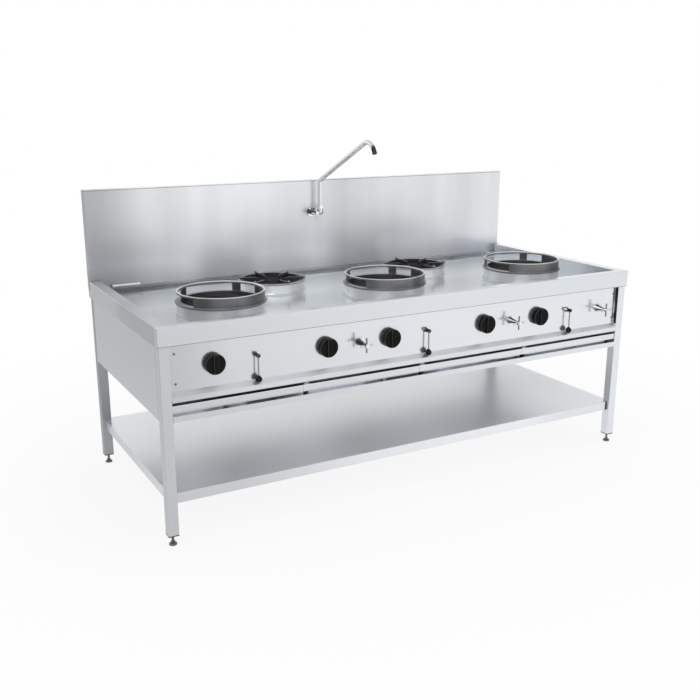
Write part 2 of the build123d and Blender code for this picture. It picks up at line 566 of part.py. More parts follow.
KNOB_TO_BURNER = [(*WOKS["left"], WOK_FEED), (*POTS["left"], POT_FEED),
                  (*WOKS["middle"], WOK_FEED), (*POTS["right"], POT_FEED),
                  (*WOKS["right"], WOK_FEED)]
with BuildPart() as gas_pipework:
    tube([(150, GAS_Y, GAS_Z), (GAS_IN_X, GAS_Y, GAS_Z), (GAS_IN_X, INLET_END, GAS_Z)],
         GAS_R, 45, 2.5)
    thread_end(GAS_IN_X, GAS_Z, GAS_R)
    rod_x(GAS_Y, GAS_Z, GAS_R, 146, 151)
    for x, (bx, by, top) in zip(KNOBS, KNOB_TO_BURNER):
        tube([(x, 50, KNOB_Z - 24), (x, 50, FEED_Z), (bx, by, FEED_Z), (bx, by, top)],
             FEED_R, 16, 1.0)
save(gas_pipework, "gas_pipework")

for i, x in enumerate(KNOBS):
    with BuildPart() as spindle:
        rod_y(x, KNOB_Z, SPINDLE_R, 3.0, 58)
        rod_y(x, KNOB_Z, 8.0, 34.3, 42.0)
    save(spindle, f"gas_spindle_{i + 1}")

for i, x in enumerate(KNOBS):
    with BuildPart() as knob:
        face = Plane(origin=pos(x, KNOB_BACK, KNOB_Z), x_dir=(1, 0, 0), z_dir=(0, -1, 0))
        with BuildSketch(face):
            Circle(KNOB_R - 1.5)
        extrude(amount=4)
        with BuildSketch(face.offset(4)):
            Circle(KNOB_R)
        extrude(amount=KNOB_BACK - KNOB_FACE - 4)
        fillet(knob.faces().sort_by(Axis.Y)[0].edges(), 2.5)
        with BuildSketch(face.offset(KNOB_BACK - KNOB_FACE - 1)):
            RectangleRounded(18, 2 * KNOB_R - 7, 4)
        extrude(amount=9)
        fillet(knob.faces().sort_by(Axis.Y)[0].edges(), 2)
        rod_y(x, KNOB_Z, SPINDLE_R + RUN, 2.0, KNOB_BACK + 1, Mode.SUBTRACT)
    save(knob, f"gas_knob_{i + 1}")

# ================================================================ water side
with BuildPart() as water_pipework:
    tube([(WATER_END_X, WATER_Y, WATER_Z), (WATER_IN_X, WATER_Y, WATER_Z),
          (WATER_IN_X, INLET_END, WATER_Z)], WATER_R, 35, 2.3)
    thread_end(WATER_IN_X, WATER_Z, WATER_R)
    rod_x(WATER_Y, WATER_Z, WATER_R, WATER_END_X - 1, WATER_END_X + 4)
    # feed of the tap, up inside the splashback
    tube([(TAP_X, PIPE_Y, DECK - 18), (TAP_X, PIPE_Y, TAP_Z - 13)], 7.0, 10, 1.0)
save(water_pipework, "water_pipework")


def bonnet(x, z, neck_r, steps, bore):
    """Front nut of a water valve: steps are (radius, y from, y to) towards the front."""
    for r, y0, y1 in steps:
        rod_y(x, z, r, y1, y0)
    rod_y(x, z, neck_r + 0.05, 12, PANEL_Y + 1, Mode.SUBTRACT)
    rod_y(x, z, bore, -20, PANEL_Y + 1, Mode.SUBTRACT)


water_solids = []
for kind, xs, z, neck, stem in (("cross", CROSSES, CROSS_Z, 9.0, CROSS_STEM_R),
                                ("lever", LEVERS, LEVER_Z, 7.0, LEVER_STEM_R)):
    for x in xs:
        with BuildPart() as body:
            rod_y(x, z, 15, PANEL_Y + SHEET, 66)
            rod_y(x, z, neck, 13, PANEL_Y + SHEET + 1)
            rod_z(x, WATER_Y, 8, z, WATER_Z)
            rod_x(WATER_Y, WATER_Z, WATER_R + 0.05, x - 30, x + 30, Mode.SUBTRACT)
            rod_z(x, WATER_Y, 9, WATER_Z - 4, WATER_Z + 20, Mode.SUBTRACT)
            rod_y(x, z, stem + RUN, 10, 58, Mode.SUBTRACT)
        with BuildPart() as nut:
            if kind == "cross":
                bonnet(x, z, neck, [(19, PANEL_Y, 19), (15.5, 19.2, 17.5), (13, 18, 9),
                                    (10, 9.2, -2), (7.5, -1.8, -12)], stem + RUN)
            else:
                bonnet(x, z, neck, [(12, PANEL_Y, 19), (9.5, 19.2, 11.5)], stem + RUN)
        water_solids += [body.part.solids()[0], nut.part.solids()[0]]
water_valves = Compound(children=water_solids)
water_valves.label = "water_valves"
export_step(water_valves, "parts/water_valves.step")


def cross(x, y, z, arm, hub_r, arm_r, stem_r, stem_end):
    """Cross handle: hub, four rounded arms and the stem that runs into the valve."""
    rod_y(x, z, hub_r, y - 8, y + 7)
    for a in (0, 90, 180, 270):
        u = cos(radians(a))
        w = sin(radians(a))
        start = pos(x, y, z)
        with BuildSketch(Plane(origin=start, x_dir=(0, 1, 0), z_dir=(u, 0, w))) as root:
            Circle(arm_r * 0.85)
        extrude(root.sketch, amount=arm - arm_r)
        with Locations((start[0] + u * (arm - arm_r), start[1], start[2] + w * (arm - arm_r))):
            Sphere(arm_r)
    rod_y(x, z, stem_r, y, stem_end)


for i, x in enumerate(CROSSES):
    with BuildPart() as handle:
        cross(x, -29.0, CROSS_Z, CROSS_ARM, 8.5, 3.8, CROSS_STEM_R, 52)
        with BuildSketch(Plane(origin=pos(x, -36.8, CROSS_Z), x_dir=(1, 0, 0), z_dir=(0, -1, 0))):
            Circle(6)
        extrude(amount=1.2, taper=20)
    save(handle, f"cross_handle_{i + 1}")

for i, x in enumerate(LEVERS):
    with BuildPart() as lever:
        rod_y(x, LEVER_Z, 7.5, LEVER_ROD_Y - 6, 11.2)
        rod_y(x, LEVER_Z, LEVER_STEM_R, 10, 52)
        rod_z(x, LEVER_ROD_Y, 2.5, BALL_Z - 2, LEVER_Z)
    save(lever, f"lever_{i + 1}")
    with BuildPart() as ball:
        with Locations(pos(x, LEVER_ROD_Y, BALL_Z)):
            Sphere(BALL_R)
        rod_z(x, LEVER_ROD_Y, 6, BALL_Z + 8, BALL_Z + 14)
        rod_z(x, LEVER_ROD_Y, 2.52, BALL_Z - 2, BALL_Z + 20, Mode.SUBTRACT)
    save(ball, f"lever_ball_{i + 1}")

with BuildPart() as rinse_pipe:
    tube([(RINSE_X - 128, BODY_DEPTH - 12, RINSE_Z), (RINSE_X, BODY_DEPTH - 12, RINSE_Z),
          (RINSE_X, PIPE_Y, RINSE_Z), (RINSE_X, PIPE_Y, DECK - 18)], 6.5, 12, 1.0)
save(rinse_pipe, "rinse_pipe")

# ================================================================ tap
NUT_TOP = TAP_Z + 34.0
with BuildPart() as tap_body:
    # wall flange, tail inside the splashback, valve barrel and bonnet
    rod_y(TAP_X, TAP_Z, 21, BODY_DEPTH - 4, BODY_DEPTH)
    rod_y(TAP_X, TAP_Z, 12, TAP_Y - 9, BODY_DEPTH - 3)
    rod_y(TAP_X, TAP_Z, 10, BODY_DEPTH - 1, PIPE_Y + 7)
    with BuildSketch(Plane.XY.offset(TAP_Z - 13)):
        with Locations(pos(TAP_X, PIPE_Y, 0)[:2]):
            RegularPolygon(12.5, 6)
    extrude(amount=24)
    rod_y(TAP_X, TAP_Z, 9, TAP_Y - 15, TAP_Y - 8)
    # side outlet with the socket of the spout
    rod_x(TAP_Y, TAP_Z, 9, TAP_X, RISER_X)
    turned(RISER_X, TAP_Y, [
        (0, TAP_Z - 10), (9, TAP_Z - 10), (13, TAP_Z - 6), (14, TAP_Z), (14, TAP_Z + 18),
        (0, TAP_Z + 18)])
    with BuildSketch(Plane.XY.offset(TAP_Z + 17)):
        with Locations(pos(RISER_X, TAP_Y, 0)[:2]):
            RegularPolygon(17.5, 6)
    extrude(amount=NUT_TOP - TAP_Z - 17)
    rod_z(RISER_X, TAP_Y, SPOUT_R + RUN, TAP_Z + 4, NUT_TOP + 1, Mode.SUBTRACT)
    rod_y(TAP_X, TAP_Z, 3.0 + RUN, TAP_Y - 17, TAP_Y - 3, Mode.SUBTRACT)
save(tap_body, "tap_body")

with BuildPart() as tap_handle:
    cross(TAP_X, TAP_Y - 24, TAP_Z, 28, 7.5, 3.6, 3.0, TAP_Y - 5)
save(tap_handle, "tap_handle")

ELBOW_Z = TAP_Z + 148.0
SPOUT_SLOPE = radians(24.2)
TIP_TILT = radians(20)            # of the spout's end from upright
SPOUT_REACH = 502.0
TIP_Z = TAP_Z + 295.5
# the corner lies where the rising run meets the line of the spout's end
TIP_L = ((ELBOW_Z - TIP_Z + SPOUT_REACH * tan(SPOUT_SLOPE))
         / (cos(TIP_TILT) + sin(TIP_TILT) * tan(SPOUT_SLOPE)))
TIP_Y = TAP_Y - SPOUT_REACH
CORNER = (RISER_X, TIP_Y + TIP_L * sin(TIP_TILT), TIP_Z + TIP_L * cos(TIP_TILT))
with BuildPart() as tap_spout:
    rod_z(RISER_X, TAP_Y, SPOUT_R, TAP_Z + 4, ELBOW_Z)
    rod_z(RISER_X, TAP_Y, SPOUT_R + 1.2, NUT_TOP + 0.4, NUT_TOP + 8)
    with BuildLine() as spout_path:
        FilletPolyline(Vector(*pos(RISER_X, TAP_Y, ELBOW_Z)), Vector(*pos(*CORNER)),
                       Vector(*pos(RISER_X, TIP_Y, TIP_Z)), radius=0.9 * TIP_L)
    run = spout_path.wires()[0]
    with BuildSketch(Plane(origin=run @ 0, z_dir=run % 0)) as bore:
        Circle(SPOUT_R)
    sweep(bore.sketch, path=run)
    with Locations(pos(RISER_X, TAP_Y, ELBOW_Z)):
        Sphere(SPOUT_R)
    with Locations(Plane(origin=run @ 1, z_dir=run % 1)):
        Cylinder(7, 24, mode=Mode.SUBTRACT)
save(tap_spout, "tap_spout")
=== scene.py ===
"""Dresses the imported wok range: metals, plastics, small formed details, stage and camera."""

import json
from math import cos, pi, sin

import bpy
import numpy as np
from bpy.props import FloatProperty, FloatVectorProperty, IntProperty, PointerProperty
from mathutils import Matrix, Vector


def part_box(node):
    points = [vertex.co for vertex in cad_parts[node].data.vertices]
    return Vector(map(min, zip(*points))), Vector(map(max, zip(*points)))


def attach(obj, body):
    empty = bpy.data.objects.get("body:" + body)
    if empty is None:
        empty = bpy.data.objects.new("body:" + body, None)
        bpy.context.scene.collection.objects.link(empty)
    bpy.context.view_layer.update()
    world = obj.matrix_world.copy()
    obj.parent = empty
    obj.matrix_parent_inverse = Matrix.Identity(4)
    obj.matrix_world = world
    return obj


bl_info = {
    "name": "Wok range dressing",
    "version": (1, 0, 0),
    "blender": (4, 5, 0),
    "location": "View3D > Sidebar > Wok range",
    "description": "Materials, formed details and studio for a three-wok gas range",
    "category": "Object",
}

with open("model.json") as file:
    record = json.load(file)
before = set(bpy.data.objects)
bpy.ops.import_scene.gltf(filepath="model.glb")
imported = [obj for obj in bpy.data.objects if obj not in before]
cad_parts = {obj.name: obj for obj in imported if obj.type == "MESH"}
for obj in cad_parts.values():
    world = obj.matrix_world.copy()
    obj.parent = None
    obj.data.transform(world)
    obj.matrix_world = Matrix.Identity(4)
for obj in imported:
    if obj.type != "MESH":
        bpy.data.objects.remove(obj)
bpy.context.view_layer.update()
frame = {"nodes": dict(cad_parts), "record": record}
NODES = frame["nodes"]
FEET = [n for n in NODES if n.startswith("foot_") and n != "foot_bushes"]
RINGS = [n for n in NODES if n.startswith("wok_ring")]
TRIVETS = [n for n in NODES if n.startswith("trivet")]

# Camera matched to the photograph, in metres and radians.
CAMERA_AT = (-1.968151, -3.376355, 1.578595)
CAMERA_YAW = 0.509961
CAMERA_PITCH = -0.272968
CAMERA_ROLL = 0.001124
CAMERA_LENS = 46.316
# No steel is whiter than this.
WHITEST = (0.925, 0.945, 0.97)
# Centre of the spout's open end, and its lean from upright.
SPOUT_TIP = (-0.004, -0.074, 1.3535)
SPOUT_TILT = 0.349
# The floor lies just under the feet and reaches past the view, in metres.
FLOOR_Z = -0.0002
FLOOR_REACH = 30.0
# Brushing and turning marks: lines per metre along each axis.
BRUSHED_X = (3.0, 420.0, 420.0)
BRUSHED_Y = (420.0, 3.0, 420.0)
BRUSHED_Z = (420.0, 420.0, 3.0)
TURNED = (2.0, 2.0, 500.0)
RING_TURNED = (6.0, 6.0, 300.0)
DRAWN_PIPE = (30.0, 30.0, 30.0)
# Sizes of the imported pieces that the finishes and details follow, in metres.
RIM_HEIGHT = 0.070         # worktop rim, top to lower edge
RIM_TO_LEDGE = 0.172       # rim's lower edge to the drip ledge of the panel
GUTTER_WIDTH = 0.071       # gutter's front edge to the splashback
TUBE_SIDE = 0.040          # square tube of the legs
COLLAR_FLARE = 0.006       # flared foot of a collar past its wall
RING_WALL = 0.1698         # radius of a wok ring's wall
TRIVET_BAND = 0.139        # radius at which a trivet's outer band begins
# Threads, weld beads, jets and crowns, in metres; a profile is (radius, height) points.
FOOT_THREAD = (0.00465, 0.0050)      # radius at root and crest
FOOT_RUN = (0.0165, 0.0865)          # heights between which a foot is threaded
PIPE_THREAD = (-0.0002, 0.0007)      # root and crest past the mount's radius
PIPE_RUN = (-0.0165, 0.0195)         # along the inlet, from its mount
WELD_RUN = (0.0172, 0.0082)          # bead's ends from the ring's lower and upper edge
WELD_HEIGHT = 0.0006
JET_COUNT, JET_CIRCLE = 10, 0.042    # outer jets of a wok burner
MIDDLE_JET_Z, OUTER_JET_Z = 0.702, 0.696
JET = [(0.0011, 0.0), (0.0074, 0.0), (0.0074, 0.0035), (0.0062, 0.0042),
       (0.0046, 0.0120), (0.0036, 0.0128), (0.0011, 0.0128), (0.0009, 0.0100)]
CROWN_Z = 0.7715
OUTER_CROWN = (0.0640, 0.0855)       # inner and outer radius
INNER_CROWN = (0.0100, 0.0312)
INNER_PORTS = 16
PORT_DEPTH = 0.0028
SPOUT_RING = [(0.0065, 0.0005), (0.0078, 0.0), (0.0094, 0.0), (0.0102, 0.0008),
              (0.0102, 0.0075), (0.0098, 0.0082), (0.0070, 0.0082)]


# ------------------------------------------------------------------ settings
class WokRangeMetal(bpy.types.PropertyGroup):
    """Colours and finishes of the metals."""

    sheet_colour: FloatVectorProperty(
        name="Sheet steel", description="Colour of the stainless sheet", subtype="COLOR",
        size=4, min=0.0, max=1.0, default=(0.75, 0.772, 0.80, 1.0))
    sheet_roughness: FloatProperty(
        name="Sheet roughness", description="Roughness of the brushed sheet",
        subtype="FACTOR", min=0.0, max=1.0, default=0.24)
    grain_depth: FloatProperty(
        name="Grain depth", description="Height of the brushing lines in metres",
        subtype="DISTANCE", unit="LENGTH", min=0.0, max=0.001, default=0.00002)
    chrome_colour: FloatVectorProperty(
        name="Chrome", description="Colour of the plated pieces", subtype="COLOR",
        size=4, min=0.0, max=1.0, default=(0.88, 0.88, 0.89, 1.0))
    iron_colour: FloatVectorProperty(
        name="Cast iron", description="Colour of the burners and trivets", subtype="COLOR",
        size=4, min=0.0, max=1.0, default=(0.035, 0.034, 0.036, 1.0))
    ring_colour: FloatVectorProperty(
        name="Wok ring", description="Colour of the machined wok rings", subtype="COLOR",
        size=4, min=0.0, max=1.0, default=(0.285, 0.283, 0.292, 1.0))
    brass_colour: FloatVectorProperty(
        name="Brass", description="Colour of valves and jets", subtype="COLOR",
        size=4, min=0.0, max=1.0, default=(0.72, 0.53, 0.26, 1.0))


class WokRangePlastic(bpy.types.PropertyGroup):
    """Colours of the plastic and rubber pieces."""

    knob_colour: FloatVectorProperty(
        name="Knobs", description="Colour of knobs and lever balls", subtype="COLOR",
        size=4, min=0.0, max=1.0, default=(0.011, 0.011, 0.011, 1.0))
    knob_roughness: FloatProperty(
        name="Knob roughness", description="Roughness of the moulded plastic",
        subtype="FACTOR", min=0.0, max=1.0, default=0.30)


class WokRangeDetail(bpy.types.PropertyGroup):
    """Sizes of the small formed details."""

    foot_pitch: FloatProperty(
        name="Foot thread pitch", description="Pitch of the thread on the levelling feet",
        subtype="DISTANCE", unit="LENGTH", default=0.0015)
    pipe_pitch: FloatProperty(
        name="Pipe thread pitch", description="Pitch of the threads on the inlets",
        subtype="DISTANCE", unit="LENGTH", default=0.0018)
    weld_width: FloatProperty(
        name="Weld width", description="Width of the weld seam on a wok ring",
        subtype="DISTANCE", unit="LENGTH", default=0.0022)
    port_count: IntProperty(
        name="Flame ports", description="Flame ports round a pot burner", default=36)


class WokRangeStudio(bpy.types.PropertyGroup):
    """Stage, light and camera."""

    floor_colour: FloatVectorProperty(
        name="Floor", description="Colour of the studio floor", subtype="COLOR",
        size=4, min=0.0, max=1.0, default=(0.90, 0.90, 0.90, 1.0))
    key_power: FloatProperty(
        name="Key light", description="Power of the large soft light in front",
        unit="POWER", default=40.0)
    top_power: FloatProperty(
        name="Top light", description="Power of the overhead light", unit="POWER", default=40.0)
    sky_level: FloatProperty(
        name="Sky level", description="Brightness of the even light from all sides",
        min=0.0, max=2.0, default=0.80)
    lens: FloatProperty(
        name="Lens", description="Focal length of the camera in millimetres",
        subtype="DISTANCE_CAMERA", default=CAMERA_LENS)


# ------------------------------------------------------------------ node helpers
def node(tree, kind, inputs=None, **settings):
    """Adds one shader node, sets its properties and fills or links its inputs."""
    made = tree.nodes.new(kind)
    for key, value in settings.items():
        setattr(made, key, value)
    for key, value in (inputs or {}).items():
        if isinstance(value, bpy.types.NodeSocket):
            tree.links.new(value, made.inputs[key])
        else:
            made.inputs[key].default_value = value
    return made


def new_group(name, inputs, outputs):
    """Empty shader node group with the named sockets; returns it with its ends."""
    group = bpy.data.node_groups.new(name, "ShaderNodeTree")
    for label, kind, default in inputs:
        socket = group.interface.new_socket(label, in_out="INPUT", socket_type=kind)
        if default is not None:
            socket.default_value = default
    for label, kind in outputs:
        group.interface.new_socket(label, in_out="OUTPUT", socket_type=kind)
    return group, group.nodes.new("NodeGroupInput"), group.nodes.new("NodeGroupOutput")


def sheet_grain():
    """Brushing lines and soft clouding of a rolled sheet, from stretched coordinates."""
    name = "Sheet grain"
    if name in bpy.data.node_groups:
        return bpy.data.node_groups[name]
    group, start, end = new_group(
        name,
        [("Lines", "NodeSocketVector", None), ("Place", "NodeSocketVector", None),
         ("Roughness", "NodeSocketFloat", 0.25), ("Spread", "NodeSocketFloat", 0.08),
         ("Colour", "NodeSocketColor", (0.8, 0.8, 0.8, 1.0))],
        [("Height", "NodeSocketFloat"), ("Roughness", "NodeSocketFloat"),
         ("Colour", "NodeSocketColor")])
    lines = node(group, "ShaderNodeTexNoise", {
        "Vector": start.outputs["Lines"], "Scale": 1.0, "Detail": 3.0, "Roughness": 0.6})
    cloud = node(group, "ShaderNodeTexNoise", {
        "Vector": start.outputs["Place"], "Scale": 2.3, "Detail": 2.0, "Roughness": 0.5})
    centred = node(group, "ShaderNodeMath", {0: cloud.outputs["Fac"], 1: 0.5},
                   operation="SUBTRACT")
    lined = node(group, "ShaderNodeMath", {0: lines.outputs["Fac"], 1: 0.5},
                 operation="SUBTRACT")
    both = node(group, "ShaderNodeMath", {0: centred.outputs[0], 1: lined.outputs[0]},
                operation="ADD")
    rough = node(group, "ShaderNodeMath", {
        0: both.outputs[0], 1: start.outputs["Spread"], 2: start.outputs["Roughness"]},
        operation="MULTIPLY_ADD")
    level = node(group, "ShaderNodeMath", {0: lined.outputs[0], 1: 0.10, 2: 1.0},
                 operation="MULTIPLY_ADD")
    tint = node(group, "ShaderNodeVectorMath", {
        0: start.outputs["Colour"], "Scale": level.outputs[0]}, operation="SCALE")
    group.links.new(lines.outputs["Fac"], end.inputs["Height"])
    group.links.new(rough.outputs[0], end.inputs["Roughness"])
    group.links.new(tint.outputs[0], end.inputs["Colour"])
    return group


def cast_skin():
    """Pitted skin of a casting: fine grains over broad unevenness."""
    name = "Cast skin"
    if name in bpy.data.node_groups:
        return bpy.data.node_groups[name]
    group, start, end = new_group(
        name,
        [("Vector", "NodeSocketVector", None), ("Grain", "NodeSocketFloat", 700.0),
         ("Colour", "NodeSocketColor", (0.04, 0.04, 0.04, 1.0)),
         ("Worn colour", "NodeSocketColor", (0.12, 0.11, 0.11, 1.0))],
        [("Height", "NodeSocketFloat"), ("Roughness", "NodeSocketFloat"),
         ("Colour", "NodeSocketColor")])
    fine = node(group, "ShaderNodeTexNoise", {
        "Vector": start.outputs["Vector"], "Scale": start.outputs["Grain"], "Detail": 2.0})
    broad = node(group, "ShaderNodeTexNoise", {
        "Vector": start.outputs["Vector"], "Scale": 26.0, "Detail": 4.0, "Roughness": 0.6})
    pits = node(group, "ShaderNodeTexVoronoi", {
        "Vector": start.outputs["Vector"], "Scale": 420.0, "Randomness": 1.0})
    depth = node(group, "ShaderNodeMath", {
        0: pits.outputs["Distance"], 1: 0.35, 2: fine.outputs["Fac"]},
        operation="MULTIPLY_ADD")
    rough = node(group, "ShaderNodeMapRange", {
        "Value": broad.outputs["Fac"], "From Min": 0.3, "From Max": 0.7, "To Min": 0.42,
        "To Max": 0.66})
    worn = node(group, "ShaderNodeMapRange", {
        "Value": broad.outputs["Fac"], "From Min": 0.48, "From Max": 0.72, "To Min": 0.0,
        "To Max": 0.6})
    colour = node(group, "ShaderNodeMix", {
        0: worn.outputs[0], 6: start.outputs["Colour"], 7: start.outputs["Worn colour"]},
        data_type="RGBA")
    group.links.new(depth.outputs[0], end.inputs["Height"])
    group.links.new(rough.outputs[0], end.inputs["Roughness"])
    group.links.new(colour.outputs[2], end.inputs["Colour"])
    return group


def smudge():
    """Faint wipe marks that change the gloss of plated and moulded pieces."""
    name = "Wipe marks"
    if name in bpy.data.node_groups:
        return bpy.data.node_groups[name]
    group, start, end = new_group(
        name,
        [("Vector", "NodeSocketVector", None), ("Scale", "NodeSocketFloat", 30.0),
         ("Roughness", "NodeSocketFloat", 0.1), ("Spread", "NodeSocketFloat", 0.05)],
        [("Roughness", "NodeSocketFloat"), ("Height", "NodeSocketFloat")])
    marks = node(group, "ShaderNodeTexNoise", {
        "Vector": start.outputs["Vector"], "Scale": start.outputs["Scale"],
        "Detail": 4.0, "Roughness": 0.62, "Distortion": 0.6})
    skin = node(group, "ShaderNodeTexNoise", {
        "Vector": start.outputs["Vector"], "Scale": 1400.0, "Detail": 1.0})
    centred = node(group, "ShaderNodeMath", {0: marks.outputs["Fac"], 1: 0.5},
                   operation="SUBTRACT")
    rough = node(group, "ShaderNodeMath", {
        0: centred.outputs[0], 1: start.outputs["Spread"], 2: start.outputs["Roughness"]},
        operation="MULTIPLY_ADD")
    group.links.new(rough.outputs[0], end.inputs["Roughness"])
    group.links.new(skin.outputs["Fac"], end.inputs["Height"])
    return group


def blank(name):
    """New material with a Principled shader; returns material, tree, shader and place."""
    material = bpy.data.materials.new(name)
    material.use_nodes = True
    tree = material.node_tree
    shader = tree.nodes["Principled BSDF"]
    place = node(tree, "ShaderNodeTexCoord")
    return material, tree, shader, place.outputs["Object"]


def bump(tree, height, strength, distance):
    """Bump from a height; distance is in metres."""
    return node(tree, "ShaderNodeBump", {
        "Height": height, "Strength": strength, "Distance": distance}).outputs["Normal"]


def band(tree, place, axis, start, stop):
    """Mask that rises from 0 to 1 between two places along one axis, or between two
    distances from an upright line when the axis is that line's (x, y), in metres."""
    if isinstance(axis, tuple):
        flat = node(tree, "ShaderNodeVectorMath", {0: place, 1: (1.0, 1.0, 0.0)},
                    operation="MULTIPLY")
        value = node(tree, "ShaderNodeVectorMath", {0: flat.outputs[0], 1: (*axis, 0.0)},
                     operation="DISTANCE").outputs["Value"]
    else:
        value = node(tree, "ShaderNodeSeparateXYZ", {"Vector": place}).outputs[axis]
    return node(tree, "ShaderNodeMapRange", {
        "Value": value, "From Min": start, "From Max": stop},
        interpolation_type="SMOOTHSTEP").outputs[0]


def zone(material, bands):
    """Mask of a zone: each band gives an axis and the two places between which the zone
    begins, and the bands are taken together."""
    tree = material.node_tree
    place = tree.nodes["Texture Coordinate"].outputs["Object"]
    mask = 1.0
    for axis, start, stop in bands:
        mask = node(tree, "ShaderNodeMath", {0: mask, 1: band(tree, place, axis, start, stop)},
                    operation="MULTIPLY").outputs[0]
    return mask


def scale_colour(material, factor):
    """Scales a material's colour by a factor socket, and keeps it under white."""
    tree = material.node_tree
    socket = tree.nodes["Principled BSDF"].inputs["Base Color"]
    colour = socket.links[0].from_socket if socket.links else tuple(socket.default_value)[:3]
    scaled = node(tree, "ShaderNodeVectorMath", {0: colour, "Scale": factor},
                  operation="SCALE")
    kept = node(tree, "ShaderNodeVectorMath", {0: scaled.outputs[0], 1: WHITEST},
                operation="MINIMUM")
    tree.links.new(kept.outputs[0], socket)


def shade(material, level, *bands):
    """Paints light or shade into a material's colour: brings it to a level of itself inside a
    zone.
    """
    factor = node(material.node_tree, "ShaderNodeMapRange", {
        "Value": zone(material, bands), "To Min": 1.0, "To Max": level})
    scale_colour(material, factor.outputs[0])
    return material


def blur(material, amount, *bands):
    """Adds an amount to a material's roughness inside a zone."""
    tree = material.node_tree
    socket = tree.nodes["Principled BSDF"].inputs["Roughness"]
    more = node(tree, "ShaderNodeMath", {
        0: zone(material, bands), 1: amount, 2: socket.links[0].from_socket},
        operation="MULTIPLY_ADD")
    tree.links.new(more.outputs[0], socket)
    return material


def steel(name, colour, roughness, stretch, depth, spread=0.08, satin=0.0):
    """Brushed stainless steel; stretch gives lines per metre along each axis, and satin is
    the share of light that the fine scratches scatter evenly."""
    material, tree, shader, place = blank(name)
    lines = node(tree, "ShaderNodeMapping", {"Vector": place, "Scale": stretch})
    grain = node(tree, "ShaderNodeGroup", node_tree=sheet_grain())
    tree.links.new(lines.outputs["Vector"], grain.inputs["Lines"])
    tree.links.new(place, grain.inputs["Place"])
    grain.inputs["Roughness"].default_value = roughness
    grain.inputs["Spread"].default_value = spread
    grain.inputs["Colour"].default_value = colour
    shader.inputs["Metallic"].default_value = 1.0 - satin
    tree.links.new(grain.outputs["Colour"], shader.inputs["Base Color"])
    tree.links.new(grain.outputs["Roughness"], shader.inputs["Roughness"])
    tree.links.new(bump(tree, grain.outputs["Height"], 0.5, depth), shader.inputs["Normal"])
    return material


def iron(name, colour, worn, grain_scale, depth, metallic=0.0):
    """Cast iron with a pitted skin."""
    material, tree, shader, place = blank(name)
    skin = node(tree, "ShaderNodeGroup", node_tree=cast_skin())
    tree.links.new(place, skin.inputs["Vector"])
    skin.inputs["Grain"].default_value = grain_scale
    skin.inputs["Colour"].default_value = colour
    skin.inputs["Worn colour"].default_value = worn
    shader.inputs["Metallic"].default_value = metallic
    tree.links.new(skin.outputs["Colour"], shader.inputs["Base Color"])
    tree.links.new(skin.outputs["Roughness"], shader.inputs["Roughness"])
    tree.links.new(bump(tree, skin.outputs["Height"], 0.6, depth), shader.inputs["Normal"])
    return material


def smooth(name, colour, roughness, metallic, scale=30.0, spread=0.06, depth=0.0):
    """Plated or moulded surface with faint wipe marks."""
    material, tree, shader, place = blank(name)
    marks = node(tree, "ShaderNodeGroup", node_tree=smudge())
    tree.links.new(place, marks.inputs["Vector"])
    marks.inputs["Scale"].default_value = scale
    marks.inputs["Roughness"].default_value = roughness
    marks.inputs["Spread"].default_value = spread
    shader.inputs["Base Color"].default_value = colour
    shader.inputs["Metallic"].default_value = metallic
    tree.links.new(marks.outputs["Roughness"], shader.inputs["Roughness"])
    if depth:
        tree.links.new(bump(tree, marks.outputs["Height"], 0.5, depth), shader.inputs["Normal"])
    return material


def chrome(name, colour, roughness, edge, start, stop):
    """Plated surface whose sides are painted dark by the angle at which they are seen, a
    painted reflection of black cards; the turn lies between two amounts of facing away."""
    material = smooth(name, colour, roughness, 1.0, 40.0, 0.05)
    tree = material.node_tree
    shader = tree.nodes["Principled BSDF"]
    side = node(tree, "ShaderNodeLayerWeight", {"Blend": 0.5})
    amount = node(tree, "ShaderNodeMapRange", {
        "Value": side.outputs["Facing"], "From Min": start, "From Max": stop},
        interpolation_type="SMOOTHSTEP")
    tint = node(tree, "ShaderNodeMix", {0: amount.outputs[0], 6: colour, 7: edge},
                data_type="RGBA")
    tree.links.new(tint.outputs[2], shader.inputs["Base Color"])
    return material


def dress(names, material):
    """Gives the named nodes one material in their own slots."""
    for name in names:
        slots = NODES[name].material_slots
        if not slots:
            NODES[name].data.materials.append(material)
        for slot in slots:
            slot.material = material


def toned(colour, factor):
    """A colour with its three channels scaled."""
    return (colour[0] * factor, colour[1] * factor, colour[2] * factor, 1.0)


# ------------------------------------------------------------------ mesh helpers
def join_points(blocks):
    """Vertices and quads of several grids of points as one pair of arrays.

    Each quad joins a point with its next row and column; the last row or column joins the
    first where the surface closes on itself.
    """
    verts, faces, offset = [], [], 0
    for points, wrap_u, wrap_v in blocks:
        rows, cols = points.shape[:2]
        index = np.arange(rows * cols).reshape(rows, cols) + offset
        u = np.vstack([index, index[:1]]) if wrap_u else index
        u = np.hstack([u, u[:, :1]]) if wrap_v else u
        quads = np.stack([u[:-1, :-1], u[1:, :-1], u[1:, 1:], u[:-1, 1:]], axis=-1)
        verts.append(points.reshape(-1, 3))
        faces.append(quads.reshape(-1, 4))
        offset += rows * cols
    return np.vstack(verts), np.vstack(faces)


def build_mesh(name, blocks, material, smooth_faces=True):
    """One object out of several grids of points, with its material."""
    verts, faces = join_points(blocks)
    mesh = bpy.data.meshes.new(name)
    mesh.from_pydata(verts.tolist(), [], faces.tolist())
    mesh.polygons.foreach_set("use_smooth", np.full(len(mesh.polygons), smooth_faces))
    mesh.materials.append(material)
    mesh.update()
    made = bpy.data.objects.new(name, mesh)
    bpy.context.scene.collection.objects.link(made)
    return made


def piece(name, blocks, material, body, smooth_faces=True):
    """One object out of several closed grids, with its material, body and slot."""
    made = build_mesh(name, blocks, material, smooth_faces)
    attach(made, body)
    return made


